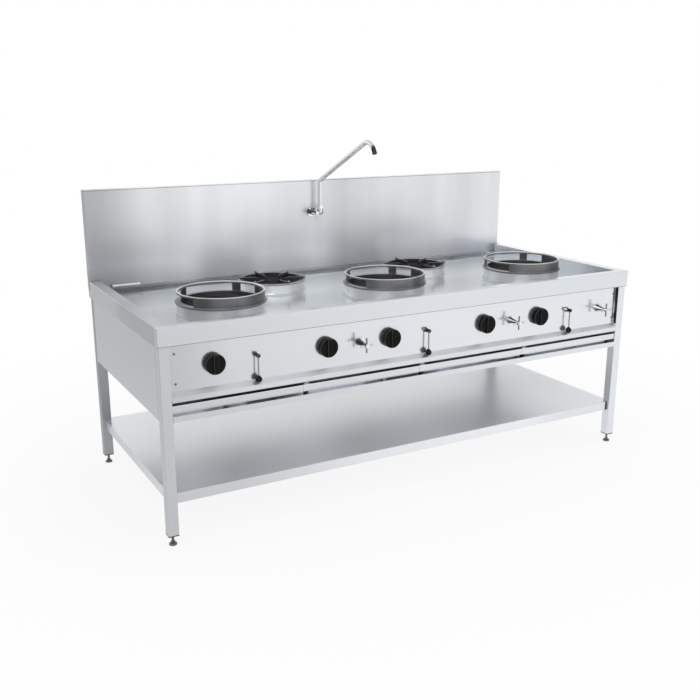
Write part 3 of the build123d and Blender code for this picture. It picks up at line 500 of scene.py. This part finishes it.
def lathe(centre, profile, steps):
    """Closed surface of revolution: each (radius, height) point of a closed profile is
    swung round the upright axis through the centre."""
    r, h = np.array(profile, dtype=float).T
    a = np.linspace(0.0, 2 * pi, steps, endpoint=False)[:, None]
    u, v, w = r * np.cos(a), r * np.sin(a), np.broadcast_to(h, (steps, len(h)))
    return np.stack([u, v, w], axis=-1) + np.array(centre)


def helix_skin(centre, axis, root, crest, pitch, start, stop, steps):
    """Thread along the axis "y" or "z": a tube wall whose radius rises from root to crest
    along a ridge that climbs one pitch each turn, with the ridge height a triangle wave of
    (height / pitch - angle). The wall returns inside at nine tenths of the root, which closes
    the surface."""
    rows = int((stop - start) / pitch * 6) + 1
    h = np.linspace(start, stop, rows)
    a = np.linspace(0.0, 2 * pi, steps, endpoint=False)[:, None]
    phase = (h / pitch - a / (2 * pi)) % 1.0
    ridge = 1.0 - np.abs(2.0 * phase - 1.0)
    fade = np.clip(np.minimum(h - start, stop - h) / pitch, 0.0, 1.0)
    r = root + (crest - root) * ridge * fade
    inner = np.full((steps, 2), root * 0.9)
    radius = np.hstack([inner[:, :1], r, inner[:, 1:]])
    height = np.hstack([h[:1], h, h[-1:]])
    u, v = radius * np.cos(a), radius * np.sin(a)
    w = np.broadcast_to(height, radius.shape)
    order = {"z": (u, v, w), "y": (v, w, u)}[axis]
    return np.stack(order, axis=-1) + np.array(centre)


def slab(low, high, bevel=0.0006):
    """Box between two corners with bevelled upright edges, as stacked closed outlines: an
    eight-sided outline is carried up through inset, full, full and inset heights."""
    (x0, y0, z0), (x1, y1, z1) = low, high

    def outline(inset, z):
        b = bevel
        return [(x0 + inset + b, y0 + inset, z), (x1 - inset - b, y0 + inset, z),
                (x1 - inset, y0 + inset + b, z), (x1 - inset, y1 - inset - b, z),
                (x1 - inset - b, y1 - inset, z), (x0 + inset + b, y1 - inset, z),
                (x0 + inset, y1 - inset - b, z), (x0 + inset, y0 + inset + b, z)]

    middle = ((x0 + x1) / 2, (y0 + y1) / 2)
    bottom = [(middle[0], middle[1], z0)] * 8
    top = [(middle[0], middle[1], z1)] * 8
    levels = [bottom, outline(bevel, z0), outline(0.0, z0 + bevel),
              outline(0.0, z1 - bevel), outline(bevel, z1), top]
    return np.array(levels).transpose(1, 0, 2)


def node_middle(name):
    """Centre of a node's box."""
    low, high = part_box(name)
    return [(low[i] + high[i]) / 2 for i in range(3)]


# ------------------------------------------------------------------ operators
def settings():
    """The four setting groups of the scene."""
    scene = bpy.context.scene
    return (scene.wok_range_metal, scene.wok_range_plastic, scene.wok_range_detail,
            scene.wok_range_studio)


def finish_worktop(colour, rough, depth):
    """Worktop, with painted light and shade: the gutter and the back of the deck brighter, the
    deck's left end darker, and dark lines under the rim's front and on top of the rear flange."""
    (left, wall, foot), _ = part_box("splashback")
    (_, front, _), (_, _, rim_top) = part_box("worktop")
    rim_low, gutter = rim_top - RIM_HEIGHT, wall - GUTTER_WIDTH
    sheet = steel("worktop_sheet", colour, rough * 0.9, BRUSHED_X, depth)
    # Painted light: the gutter is brighter than its shade.
    shade(sheet, 1.28, ("Y", gutter - 0.002, gutter + 0.002))
    # Painted shade: a dark line under the rim's front, where it meets the panel.
    shade(sheet, 0.45, ("Z", rim_low + 0.0026, rim_low + 0.0016),
          ("Y", front + 0.002, front + 0.001))
    # Painted shade: the deck darker towards its left end.
    shade(sheet, 0.78, ("X", left + 0.50, left + 0.10), ("Y", front + 0.005, front + 0.03))
    # Painted light: the back of the deck brighter, against the dark reflection of the
    # splashback's foot.
    shade(sheet, 1.20, ("Y", wall - 0.55, wall - 0.37), ("Y", gutter + 0.002, gutter - 0.002))
    # Painted shade over the light reflection on top of the rear flange.
    shade(sheet, 0.55, ("Z", foot - 0.007, foot - 0.005), ("Y", wall - 0.030, wall - 0.025))
    dress(["worktop"], sheet)


def finish_splashback(colour, depth):
    """Splashback, with painted light and shade: darker at the foot, at the left end and in the
    right half, with a painted dark line along its upper fold and broad upright bands of painted
    reflection, lighter and darker."""
    (left, _, foot), (_, _, fold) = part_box("splashback")
    # Painted light: a brighter copy of the sheet steel.
    sheet = steel("splash_sheet", toned(colour, 1.24), 0.31, BRUSHED_X, depth, satin=0.28)
    # Painted shade at the foot, at the left end and in the right half, and a dark line along
    # the upper fold.
    shade(sheet, 0.64, ("Z", foot + 0.11, foot))
    shade(sheet, 0.60, ("X", left + 0.30, left + 0.02))
    shade(sheet, 0.84, ("X", -0.12, 0.12))
    shade(sheet, 0.55, ("Z", fold - 0.0050, fold - 0.0035),
          ("Z", fold - 0.0006, fold - 0.0010))
    # Painted reflection: broad upright bands of lighter and darker colour.
    tree = sheet.node_tree
    place = tree.nodes["Texture Coordinate"].outputs["Object"]
    levels = []
    for start, stretch, rough, low, high in (
            ((0.9, 0.0, 0.0), (2.1, 0.4, 0.55), 0.4, 0.93, 1.05),
            ((0.0, 0.0, 0.0), (9.0, 0.4, 0.8), 0.5, 0.95, 1.03)):
        drawn = node(tree, "ShaderNodeMapping", {
            "Vector": place, "Location": start, "Scale": stretch})
        noise = node(tree, "ShaderNodeTexNoise", {
            "Vector": drawn.outputs[0], "Scale": 1.0, "Detail": 1.0, "Roughness": rough})
        levels.append(node(tree, "ShaderNodeMapRange", {
            "Value": noise.outputs["Fac"], "From Min": 0.34, "From Max": 0.66,
            "To Min": low, "To Max": high}).outputs[0])
    product = node(tree, "ShaderNodeMath", {0: levels[0], 1: levels[1]},
                   operation="MULTIPLY")
    scale_colour(sheet, product.outputs[0])
    dress(["splashback"], sheet)


def finish_front(colour, rough, depth):
    """Control panel, rails and clips, with painted shade. The faces on both sides of the gap
    over the front rail are painted black, so that the gap reads as one black line of shade, and
    the panel's foot mirrors less."""
    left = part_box("splashback")[0][0]
    (_, _, rail_low), (_, _, rail_top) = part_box("front_rail")
    # Painted light: the panel is a brighter copy of the sheet steel; painted shade darkens its
    # left end.
    panel = steel("panel_sheet", toned(colour, 1.06), rough * 0.8, BRUSHED_X, depth, 0.04, 0.1)
    shade(panel, 0.85, ("X", left + 0.30, left + 0.05))
    blur(panel, 0.22, ("Z", rail_top + 0.047, rail_top + 0.046))
    # Painted shade: the panel's lip over the gap is black.
    shade(panel, 0.02, ("Z", rail_top + 0.0105, rail_top + 0.0095))
    dress(["control_panel"], panel)
    rail = steel("rail_sheet", colour, rough * 0.6, BRUSHED_X, depth, 0.06)
    # Painted shade: the rail's top, in the gap, is black.
    dress(["front_rail"], shade(rail, 0.02, ("Z", rail_top - 0.0022, rail_top - 0.0012)))
    clip = steel("clip_sheet", colour, rough * 0.6, BRUSHED_X, depth, 0.06)
    # Painted shade: the clips are dark below the rail.
    dress(["rail_clips"], shade(clip, 0.06, ("Z", rail_low - 0.0015, rail_low - 0.0025)))
    dress(["lower_rail"], steel("strip_sheet", colour, rough * 0.6, BRUSHED_X, depth))


def finish_shelf(colour, depth):
    """Undershelf, with painted light and shade: a brighter copy of the sheet steel, darker
    towards the right, towards the back and at the left of its lip, with a painted black shadow
    where the lip ends at the right leg."""
    (left, lip, _), (right, _, _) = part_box("undershelf")
    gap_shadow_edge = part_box("leg_front_right")[1][0] - TUBE_SIDE
    # Painted light: a brighter copy of the sheet steel.
    sheet = steel("shelf_sheet", toned(colour, 1.26), 0.30, BRUSHED_X, depth, 0.05, 0.25)
    # Painted shade: darker towards the right and the back.
    shade(sheet, 0.86, ("X", right - 0.60, right - 0.25))
    shade(sheet, 0.90, ("Y", lip + 0.10, lip + 0.50))
    # Painted shadow: a black gap where the lip ends at the right leg.
    shade(sheet, 0.03, ("X", gap_shadow_edge - 0.0090, gap_shadow_edge - 0.0085), ("Y", lip + 0.003, lip + 0.002))
    # Painted shade at the left of the lip.
    shade(sheet, 0.80, ("X", left + 0.9, left + 0.2), ("Y", lip + 0.002, lip + 0.001))
    dress(["undershelf"], sheet)


def finish_legs(colour, rough, depth):
    """Legs: lit and shaded copies of the sheet steel, the rear pair darker in painted shade,
    and the front strip of the right leg's inner side painted black, as shade in the gap beside
    the control panel."""
    rough *= 1.3
    # Painted light and shade: the front left leg a little darker, the rear pair darker still.
    dress(["leg_front_left"],
          steel("leg_tube", toned(colour, 0.92), rough, BRUSHED_Z, depth, satin=0.2))
    dress(["leg_rear_left", "leg_rear_right"],
          steel("leg_tube_rear", toned(colour, 0.58), rough, BRUSHED_Z, depth, satin=0.2))
    (_, nose, _), (outer, _, _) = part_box("leg_front_right")
    inner = outer - TUBE_SIDE
    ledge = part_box("worktop")[1][2] - RIM_HEIGHT - RIM_TO_LEDGE
    # Painted light: the front right leg is a brighter copy.
    tube = steel("leg_tube_right", toned(colour, 1.08), rough, BRUSHED_Z, depth, satin=0.3)
    # Painted shade: the front strip of the inner side, in the gap beside the panel, is black.
    shade(tube, 0.03, ("X", inner + 0.0014, inner + 0.0008),
          ("Z", ledge - 0.001, ledge + 0.001), ("Y", nose + 0.0165, nose + 0.0150))
    dress(["leg_front_right"], tube)


def finish_collars(colour, depth):
    """Collars, a brighter copy of the sheet steel, with painted shade: it tones down the light
    reflection on the flared foot so that it melts into the deck, and darkens the inside.
    """
    for name in [n for n in NODES if "collar" in n]:
        (low_x, _, base), (high_x, _, _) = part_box(name)
        x, y, _ = node_middle(name)
        wall = (high_x - low_x) / 2 - COLLAR_FLARE
        collar = steel(name + "_steel", toned(colour, 1.25), 0.3, TURNED, depth, satin=0.3)
        # Painted shade over the flared foot's light reflection.
        shade(collar, 0.74, ("Z", base + 0.0095, base + 0.0075))
        # Painted shade in the hollow inside the collar.
        shade(collar, 0.30, ((x, y), wall - 0.0012, wall - 0.0017),
              ("Z", base + 0.037, base + 0.036))
        dress([name], collar)


class WOKRANGE_OT_sheet(bpy.types.Operator):
    """Brushed stainless finish, with painted light and shade, on the worktop, splashback,
    panels, rails, shelf, legs and collars, and drawn steel on the pipework."""

    bl_idname = "wokrange.sheet"
    bl_label = "Sheet steel"

    def execute(self, context):
        metal = settings()[0]
        colour, rough = tuple(metal.sheet_colour), metal.sheet_roughness
        depth = metal.grain_depth
        finish_worktop(colour, rough, depth)
        finish_splashback(colour, depth)
        finish_front(colour, rough, depth)
        finish_shelf(colour, depth)
        finish_legs(colour, rough, depth)
        finish_collars(colour, depth)
        dress(["side_panel_left", "side_panel_right", "rear_panel"],
              steel("side_sheet", colour, rough, BRUSHED_Y, depth))
        dress(["drain_outlet"], steel("turned_steel", colour, rough, TURNED, depth))
        dress(["gas_pipework", "water_pipework"],
              steel("pipe_steel", toned(colour, 0.6), 0.42, DRAWN_PIPE, depth, 0.2))
        return {"FINISHED"}


class WOKRANGE_OT_chrome(bpy.types.Operator):
    """Plated finish on the tap, rinse pipe, levers, nuts and handles, and zinc on the feet
    and screws."""

    bl_idname = "wokrange.chrome"
    bl_label = "Chrome"

    def execute(self, context):
        metal = settings()[0]
        bright = tuple(metal.chrome_colour)
        # Colour of the painted dark reflection on the plating's sides.
        dark = (0.02, 0.02, 0.025, 1.0)
        plated = chrome("chrome_plate", bright, 0.06, dark, 0.62, 0.86)
        # The spout's open end and the last part of its hook are painted dark: painted shade.
        shade(plated, 0.08, ("Y", SPOUT_TIP[1] + 0.017, SPOUT_TIP[1] + 0.007))
        dress(["tap_spout", "rinse_pipe"], plated)
        # On the small fittings the painted dark reflection takes more of each side; the levers
        # are a darker copy of the plating, with darker caps.
        lever = chrome("lever_plate", toned(bright, 0.5), 0.06, dark, 0.14, 0.38)
        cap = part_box("lever_1")[1][2]
        shade(lever, 0.2, ("Z", cap - 0.019, cap - 0.016))
        dress([n for n in NODES if n.startswith("lever_") and "ball" not in n], lever)
        dress(["water_valves", "tap_body"],
              chrome("nut_plate", bright, 0.06, dark, 0.24, 0.46))
        cross = chrome("cross_plate", bright, 0.06, dark, 0.26, 0.48)
        hub = node_middle("cross_handle_1")[2]
        # Painted dark reflection on the upper and lower arms of the cross handles.
        for side in (1, -1):
            shade(cross, 0.35, ("Z", hub + side * 0.008, hub + side * 0.011))
        dress([n for n in NODES if n.startswith("cross_handle")], cross)
        dress(["tap_handle"], chrome("tap_plate", bright, 0.06, dark, 0.34, 0.56))
        zinc = toned(bright, 0.22)
        dress(FEET, smooth("zinc_plate", zinc, 0.26, 1.0, 90.0, 0.16))
        dress(["panel_screws"], smooth("screw_zinc", zinc, 0.3, 1.0, 90.0, 0.16))
        return {"FINISHED"}


class WOKRANGE_OT_iron(bpy.types.Operator):
    """Machined and cast iron on the wok rings, trivets and burners, and brass on valves."""

    bl_idname = "wokrange.iron"
    bl_label = "Iron and brass"

    def execute(self, context):
        metal = settings()[0]
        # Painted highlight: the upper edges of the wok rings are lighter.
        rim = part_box("wok_ring_left")[1][2]
        turned = steel("ring_iron", tuple(metal.ring_colour), 0.34, RING_TURNED, 0.00004, 0.2)
        dress(RINGS, shade(turned, 3.1, ("Z", rim - 0.0026, rim - 0.0016)))
        cast = tuple(metal.iron_colour)
        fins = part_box("trivet_left")[1][2]
        for name in TRIVETS:
            x, y, _ = node_middle(name)
            grate = iron(name + "_iron", cast, (0.09, 0.09, 0.092, 1.0), 700.0, 0.0002, 0.3)
            # Painted highlights on the tops of the fins and on the outer band of each trivet.
            shade(grate, 8.0, ("Z", fins - 0.0090, fins - 0.0040))
            shade(grate, 10.0, ((x, y), TRIVET_BAND - 0.0005, TRIVET_BAND + 0.0005),
                  ("Z", fins - 0.0095, fins - 0.0105))
            dress([name], grate)
        dress(["wok_burners", "pot_burners"],
              iron("burner_iron", cast, (0.09, 0.075, 0.065, 1.0), 500.0, 0.0003))
        brass = smooth("valve_brass", tuple(metal.brass_colour), 0.26, 1.0, 60.0, 0.15, 0.00002)
        dress(["gas_valves"] + [n for n in NODES if n.startswith("gas_spindle")], brass)
        return {"FINISHED"}


class WOKRANGE_OT_plastic(bpy.types.Operator):
    """Moulded plastic on the knobs and lever balls, and rubber on the foot bushes."""

    bl_idname = "wokrange.plastic"
    bl_label = "Plastic"

    def execute(self, context):
        plastic = settings()[1]
        black = tuple(plastic.knob_colour)
        knob = smooth("knob_plastic", black, plastic.knob_roughness, 0.0, 45.0, 0.12, 0.00003)
        self.dull(knob, 0.04)
        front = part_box("gas_knob_1")[0][1]
        # Painted highlights on the edges of the grip bar and of the disc; their faces stay dull
        # black.
        for edge in (front, front + 0.0080):
            shade(knob, 7.0, ("Y", edge + 0.0002, edge + 0.0005),
                  ("Y", edge + 0.0022, edge + 0.0018))
        # Painted shade on the knob's skirt behind the disc.
        shade(knob, 0.35, ("Y", front + 0.0105, front + 0.0130))
        dress([n for n in NODES if n.startswith("gas_knob")], knob)
        ball = smooth("ball_plastic", black, 0.14, 0.0, 45.0, 0.08)
        self.dull(ball, 0.12)
        dress([n for n in NODES if n.startswith("lever_ball")], ball)
        bush = smooth("bush_plastic", (0.02, 0.02, 0.02, 1.0), 0.6, 0.0, 60.0, 0.2, 0.0001)
        dress(["foot_bushes"], bush)
        return {"FINISHED"}

    @staticmethod
    def dull(material, level):
        """Sets how much a plastic mirrors."""
        shader = material.node_tree.nodes["Principled BSDF"]
        shader.inputs["Specular IOR Level"].default_value = level


class WOKRANGE_OT_threads(bpy.types.Operator):
    """Threads on the levelling feet and on the gas and water inlets."""

    bl_idname = "wokrange.threads"
    bl_label = "Threads"

    def execute(self, context):
        detail = settings()[2]
        zinc = bpy.data.materials["zinc_plate"]
        for name in FEET:
            x, y, _ = node_middle(name)
            skin = helix_skin((x, y, 0.0), "z", *FOOT_THREAD, detail.foot_pitch, *FOOT_RUN, 24)
            piece(name + "_thread", [(skin, True, True)], zinc, name)
        pipe = bpy.data.materials["pipe_steel"]
        for mount in frame["record"]["mounts"]:
            if not mount["name"].endswith("_inlet"):
                continue
            x, y, z = mount["pos_m"]
            r = mount["dims"]["r_mm"] / 1000.0
            root, crest = [r + past for past in PIPE_THREAD]
            skin = helix_skin((x, y, z), "y", root, crest, detail.pipe_pitch, *PIPE_RUN, 40)
            piece(mount["name"] + "_thread", [(skin, True, True)], pipe, "range")
        return {"FINISHED"}


class WOKRANGE_OT_welds(bpy.types.Operator):
    """Upright weld seam on the front of each wok ring."""

    bl_idname = "wokrange.welds"
    bl_label = "Weld seams"

    def execute(self, context):
        detail = settings()[2]
        ring_material = bpy.data.materials["ring_iron"]
        for name in RINGS:
            low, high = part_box(name)
            x, y, _ = node_middle(name)
            # A bead of half-round section climbs the wall; its width swells and shrinks
            # a little with height, as a run of weld does.
            h = np.linspace(low[2] + WELD_RUN[0], high[2] - WELD_RUN[1], 40)
            half = detail.weld_width / 2 * (1.0 + 0.12 * np.sin(h * 2600.0))
            t = np.linspace(0.0, 2 * pi, 12, endpoint=False)[:, None]
            across = half * np.cos(t)
            out = RING_WALL + WELD_HEIGHT * np.sin(t) * np.ones_like(h)
            points = np.stack([x - across, y - out, np.broadcast_to(h, across.shape)], axis=-1)
            ends = np.stack([points[:, 0].mean(axis=0), points[:, -1].mean(axis=0)])
            cap0 = np.broadcast_to(ends[0], (12, 1, 3))
            cap1 = np.broadcast_to(ends[1], (12, 1, 3))
            bead = np.concatenate([cap0, points, cap1], axis=1)
            piece(name + "_weld", [(bead, True, False)], ring_material, name)
        return {"FINISHED"}


class WOKRANGE_OT_burners(bpy.types.Operator):
    """Brass jets on the wok burners and ported crowns on the pot burners."""

    bl_idname = "wokrange.burners"
    bl_label = "Burner details"

    def execute(self, context):
        detail = settings()[2]
        brass = bpy.data.materials["valve_brass"]
        iron_cast = bpy.data.materials["burner_iron"]
        for name in RINGS:
            x, y, _ = node_middle(name)
            spots = [(x, y, MIDDLE_JET_Z)]
            for i in range(JET_COUNT):
                a = 2 * pi * i / JET_COUNT
                spots.append((x + JET_CIRCLE * cos(a), y + JET_CIRCLE * sin(a), OUTER_JET_Z))
            blocks = [(lathe(spot, JET, 20), True, True) for spot in spots]
            piece(name.replace("ring", "jets"), blocks, brass, "range")
        crowns = ((*OUTER_CROWN, detail.port_count), (*INNER_CROWN, INNER_PORTS))
        for name in TRIVETS:
            x, y, _ = node_middle(name)
            blocks = []
            # A crown is a ring whose outer radius drops at each flame port: the drop is a
            # smooth step of the cosine of the port count times the angle.
            for r0, r1, count in crowns:
                a = np.linspace(0.0, 2 * pi, count * 8, endpoint=False)[:, None]
                port = np.clip(np.cos(a * count) * 4.0 - 2.0, 0.0, 1.0)
                profile = np.array([(r0, 0.0), (r1 - 0.004, 0.0), (r1, 0.001), (r1, 0.006),
                                    (r1 - 0.002, 0.0085), (r0 + 0.002, 0.0095), (r0, 0.008)])
                weight = np.array([0, 0, 1, 1, 0, 0, 0])
                r = profile[:, 0] - port * weight * PORT_DEPTH
                z = np.broadcast_to(profile[:, 1] + CROWN_Z, r.shape)
                points = np.stack([x + r * np.cos(a), y + r * np.sin(a), z], axis=-1)
                blocks.append((points, True, True))
            piece(name.replace("trivet", "pot_crown"), blocks, iron_cast, "range")
        return {"FINISHED"}


class WOKRANGE_OT_trims(bpy.types.Operator):
    """Small trims: the block at the end of the front rail and the spout's outlet ring."""

    bl_idname = "wokrange.trims"
    bl_label = "Trims"

    def execute(self, context):
        rubber = bpy.data.materials["bush_plastic"]
        low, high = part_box("front_rail")
        strip_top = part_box("lower_rail")[1][2]
        block_low = (high[0] - 0.036, low[1] + 0.001, strip_top)
        block_high = (high[0] + 0.004, high[1] - 0.006, low[2])
        piece("rail_end_block", [(slab(block_low, block_high), True, False)], rubber, "range",
              smooth_faces=False)
        chrome_metal = bpy.data.materials["chrome_plate"]
        upright = lathe((0.0, 0.0, -0.0012), SPOUT_RING, 40)
        # The outlet ring leans with the spout's end: a turn about the x axis.
        c, k = cos(SPOUT_TILT), sin(SPOUT_TILT)
        lean = np.array([[1.0, 0.0, 0.0], [0.0, c, k], [0.0, -k, c]])
        piece("spout_outlet", [(upright @ lean.T + np.array(SPOUT_TIP), True, True)],
              chrome_metal, "tap_spout")
        return {"FINISHED"}


def metal_rays(tree):
    """Light Path node, and a mask of the rays that come off metal or through glass."""
    ray = node(tree, "ShaderNodeLightPath")
    seen = node(tree, "ShaderNodeMath", {
        0: ray.outputs["Is Glossy Ray"], 1: ray.outputs["Is Transmission Ray"]},
        operation="MAXIMUM")
    return ray, seen.outputs[0]


def area(name, place, target, size, power):
    """Square area light at a place, turned to a target."""
    lamp = bpy.data.lights.new(name, "AREA")
    lamp.size = size
    lamp.energy = power
    made = bpy.data.objects.new(name, lamp)
    made.location = place
    aim = Vector(place) - Vector(target)
    made.rotation_euler = aim.to_track_quat("Z", "Y").to_euler()
    bpy.context.scene.collection.objects.link(made)
    return made


class WOKRANGE_OT_stage(bpy.types.Operator):
    """Pale floor, soft light, white background and the camera."""

    bl_idname = "wokrange.stage"
    bl_label = "Stage"

    def execute(self, context):
        studio = settings()[3]
        scene = bpy.context.scene
        side = np.linspace(-FLOOR_REACH, FLOOR_REACH, 9)
        gx, gy = np.meshgrid(side, side, indexing="ij")
        points = np.stack([gx, gy, np.full_like(gx, FLOOR_Z)], axis=-1)
        paper = self.paper(tuple(studio.floor_colour))
        floor = build_mesh("floor", [(points, False, False)], paper)
        self.sky(scene, studio.sky_level)

        area("key_light", (-3.2, -4.6, 4.2), (0.0, 0.0, 0.6), 2.4, studio.key_power)
        top = area("top_light", (0.6, -0.4, 4.6), (0.0, 0.0, 0.8), 2.6, studio.top_power)
        top.visible_glossy = False

        camera = bpy.data.cameras.new("camera")
        camera.sensor_width = 36.0
        camera.lens = studio.lens
        camera.clip_start = 0.05
        camera.clip_end = 200.0
        holder = bpy.data.objects.new("camera", camera)
        # The camera's axes: forward from yaw and pitch, right level, up across both, then
        # the small roll about the forward axis.
        sy, cy = sin(CAMERA_YAW), cos(CAMERA_YAW)
        sp, cp = sin(CAMERA_PITCH), cos(CAMERA_PITCH)
        ahead = np.array([sy * cp, cy * cp, sp])
        right = np.array([cy, -sy, 0.0])
        up = np.cross(right, ahead)
        cr, sr = cos(CAMERA_ROLL), sin(CAMERA_ROLL)
        right, up = cr * right + sr * up, -sr * right + cr * up
        turn = Matrix(np.stack([right, up, -ahead], axis=1).tolist()).to_4x4()
        holder.matrix_world = Matrix.Translation(CAMERA_AT) @ turn
        scene.collection.objects.link(holder)
        scene.camera = holder
        scene.view_settings.view_transform = "Standard"
        return {"FINISHED"}

    @staticmethod
    def paper(colour):
        """Studio paper: it takes shadows, rays from the camera see it mostly as white, and
        rays off metal see it greyer towards the left, where the metal looks darker."""
        material, tree, shader, place = blank("floor_paper")
        fibre = node(tree, "ShaderNodeTexNoise", {"Vector": place, "Scale": 180.0})
        shader.inputs["Base Color"].default_value = colour
        shader.inputs["Roughness"].default_value = 0.9
        shader.inputs["Specular IOR Level"].default_value = 0.0
        tree.links.new(bump(tree, fibre.outputs["Fac"], 0.05, 0.0005), shader.inputs["Normal"])
        ray, seen = metal_rays(tree)
        either = node(tree, "ShaderNodeMath", {
            0: seen, 1: ray.outputs["Is Camera Ray"]}, operation="MAXIMUM")
        # Near the object a part of the plain floor stays, with the shadow; far off none does.
        away = node(tree, "ShaderNodeVectorMath", {0: place}, operation="LENGTH")
        most = node(tree, "ShaderNodeMapRange", {
            "Value": away.outputs["Value"], "From Min": 1.2, "From Max": 2.8, "To Min": 0.85,
            "To Max": 1.0}, interpolation_type="SMOOTHSTEP")
        share = node(tree, "ShaderNodeMath", {0: either.outputs[0], 1: most.outputs[0]},
                     operation="MULTIPLY")
        grey = node(tree, "ShaderNodeMapRange", {
            "Value": band(tree, place, "X", -2.6, 2.2), "To Min": 0.56, "To Max": 1.0})
        level = node(tree, "ShaderNodeMix", {
            0: ray.outputs["Is Camera Ray"], 2: grey.outputs[0], 3: 1.0}, data_type="FLOAT")
        white = node(tree, "ShaderNodeEmission", {
            "Color": (1.0, 1.0, 1.0, 1.0), "Strength": level.outputs[0]})
        both = node(tree, "ShaderNodeMixShader", {
            0: share.outputs[0], 1: shader.outputs[0], 2: white.outputs[0]})
        tree.links.new(both.outputs[0], tree.nodes["Material Output"].inputs["Surface"])
        return material

    @staticmethod
    def sky(scene, brightness):
        """White behind the object, an even light on it, and for metal a bright studio that
        darkens overhead."""
        world = bpy.data.worlds.new("studio_world")
        world.use_nodes = True
        tree = world.node_tree
        tree.nodes.clear()
        way = node(tree, "ShaderNodeTexCoord")
        height = band(tree, way.outputs["Generated"], "Z", 0.34, 0.66)
        overhead = node(tree, "ShaderNodeMapRange", {
            "Value": height, "To Min": 1.0, "To Max": 0.72})
        # Dark cards stand at both sides, out of what the flat faces reflect.
        parts = node(tree, "ShaderNodeSeparateXYZ", {"Vector": way.outputs["Generated"]})
        sideways = node(tree, "ShaderNodeMath", {0: parts.outputs["X"]}, operation="ABSOLUTE")
        side = node(tree, "ShaderNodeMapRange", {
            "Value": sideways.outputs[0], "From Min": 0.68, "From Max": 0.9, "To Min": 1.0,
            "To Max": 0.3}, interpolation_type="SMOOTHSTEP")
        both = node(tree, "ShaderNodeMath", {0: overhead.outputs[0], 1: side.outputs[0]},
                    operation="MULTIPLY")
        even = node(tree, "ShaderNodeBackground", {
            "Color": (1.0, 1.0, 1.0, 1.0), "Strength": brightness})
        metal = node(tree, "ShaderNodeBackground", {"Color": both.outputs[0]})
        white = node(tree, "ShaderNodeBackground", {"Color": (1.0, 1.0, 1.0, 1.0)})
        ray, seen = metal_rays(tree)
        lit = node(tree, "ShaderNodeMixShader", {
            0: seen, 1: even.outputs[0], 2: metal.outputs[0]})
        mix = node(tree, "ShaderNodeMixShader", {
            0: ray.outputs["Is Camera Ray"], 1: lit.outputs[0], 2: white.outputs[0]})
        node(tree, "ShaderNodeOutputWorld", {"Surface": mix.outputs[0]})
        scene.world = world


OPERATORS = (
    WOKRANGE_OT_sheet, WOKRANGE_OT_chrome, WOKRANGE_OT_iron, WOKRANGE_OT_plastic,
    WOKRANGE_OT_threads, WOKRANGE_OT_welds, WOKRANGE_OT_burners, WOKRANGE_OT_trims,
    WOKRANGE_OT_stage)


class WOKRANGE_PT_panel(bpy.types.Panel):
    """Lists the operators and the settings of the wok range."""

    bl_idname = "WOKRANGE_PT_panel"
    bl_label = "Wok range"
    bl_space_type = "VIEW_3D"
    bl_region_type = "UI"
    bl_category = "Wok range"

    def draw(self, context):
        for operator in OPERATORS:
            self.layout.operator(operator.bl_idname)
        for group in settings():
            box = self.layout.box()
            for key in group.bl_rna.properties.keys():
                if key not in ("rna_type", "name"):
                    box.prop(group, key)


CLASSES = (WokRangeMetal, WokRangePlastic, WokRangeDetail, WokRangeStudio,
           *OPERATORS, WOKRANGE_PT_panel)


def register():
    for kind in CLASSES:
        bpy.utils.register_class(kind)
    bpy.types.Scene.wok_range_metal = PointerProperty(type=WokRangeMetal)
    bpy.types.Scene.wok_range_plastic = PointerProperty(type=WokRangePlastic)
    bpy.types.Scene.wok_range_detail = PointerProperty(type=WokRangeDetail)
    bpy.types.Scene.wok_range_studio = PointerProperty(type=WokRangeStudio)


def unregister():
    for key in ("metal", "plastic", "detail", "studio"):
        delattr(bpy.types.Scene, "wok_range_" + key)
    for kind in reversed(CLASSES):
        bpy.utils.unregister_class(kind)


def main():
    """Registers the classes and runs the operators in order."""
    register()
    for operator in OPERATORS:
        group, call = operator.bl_idname.split(".")
        getattr(getattr(bpy.ops, group), call)()


if __name__ == "__main__":
    main()
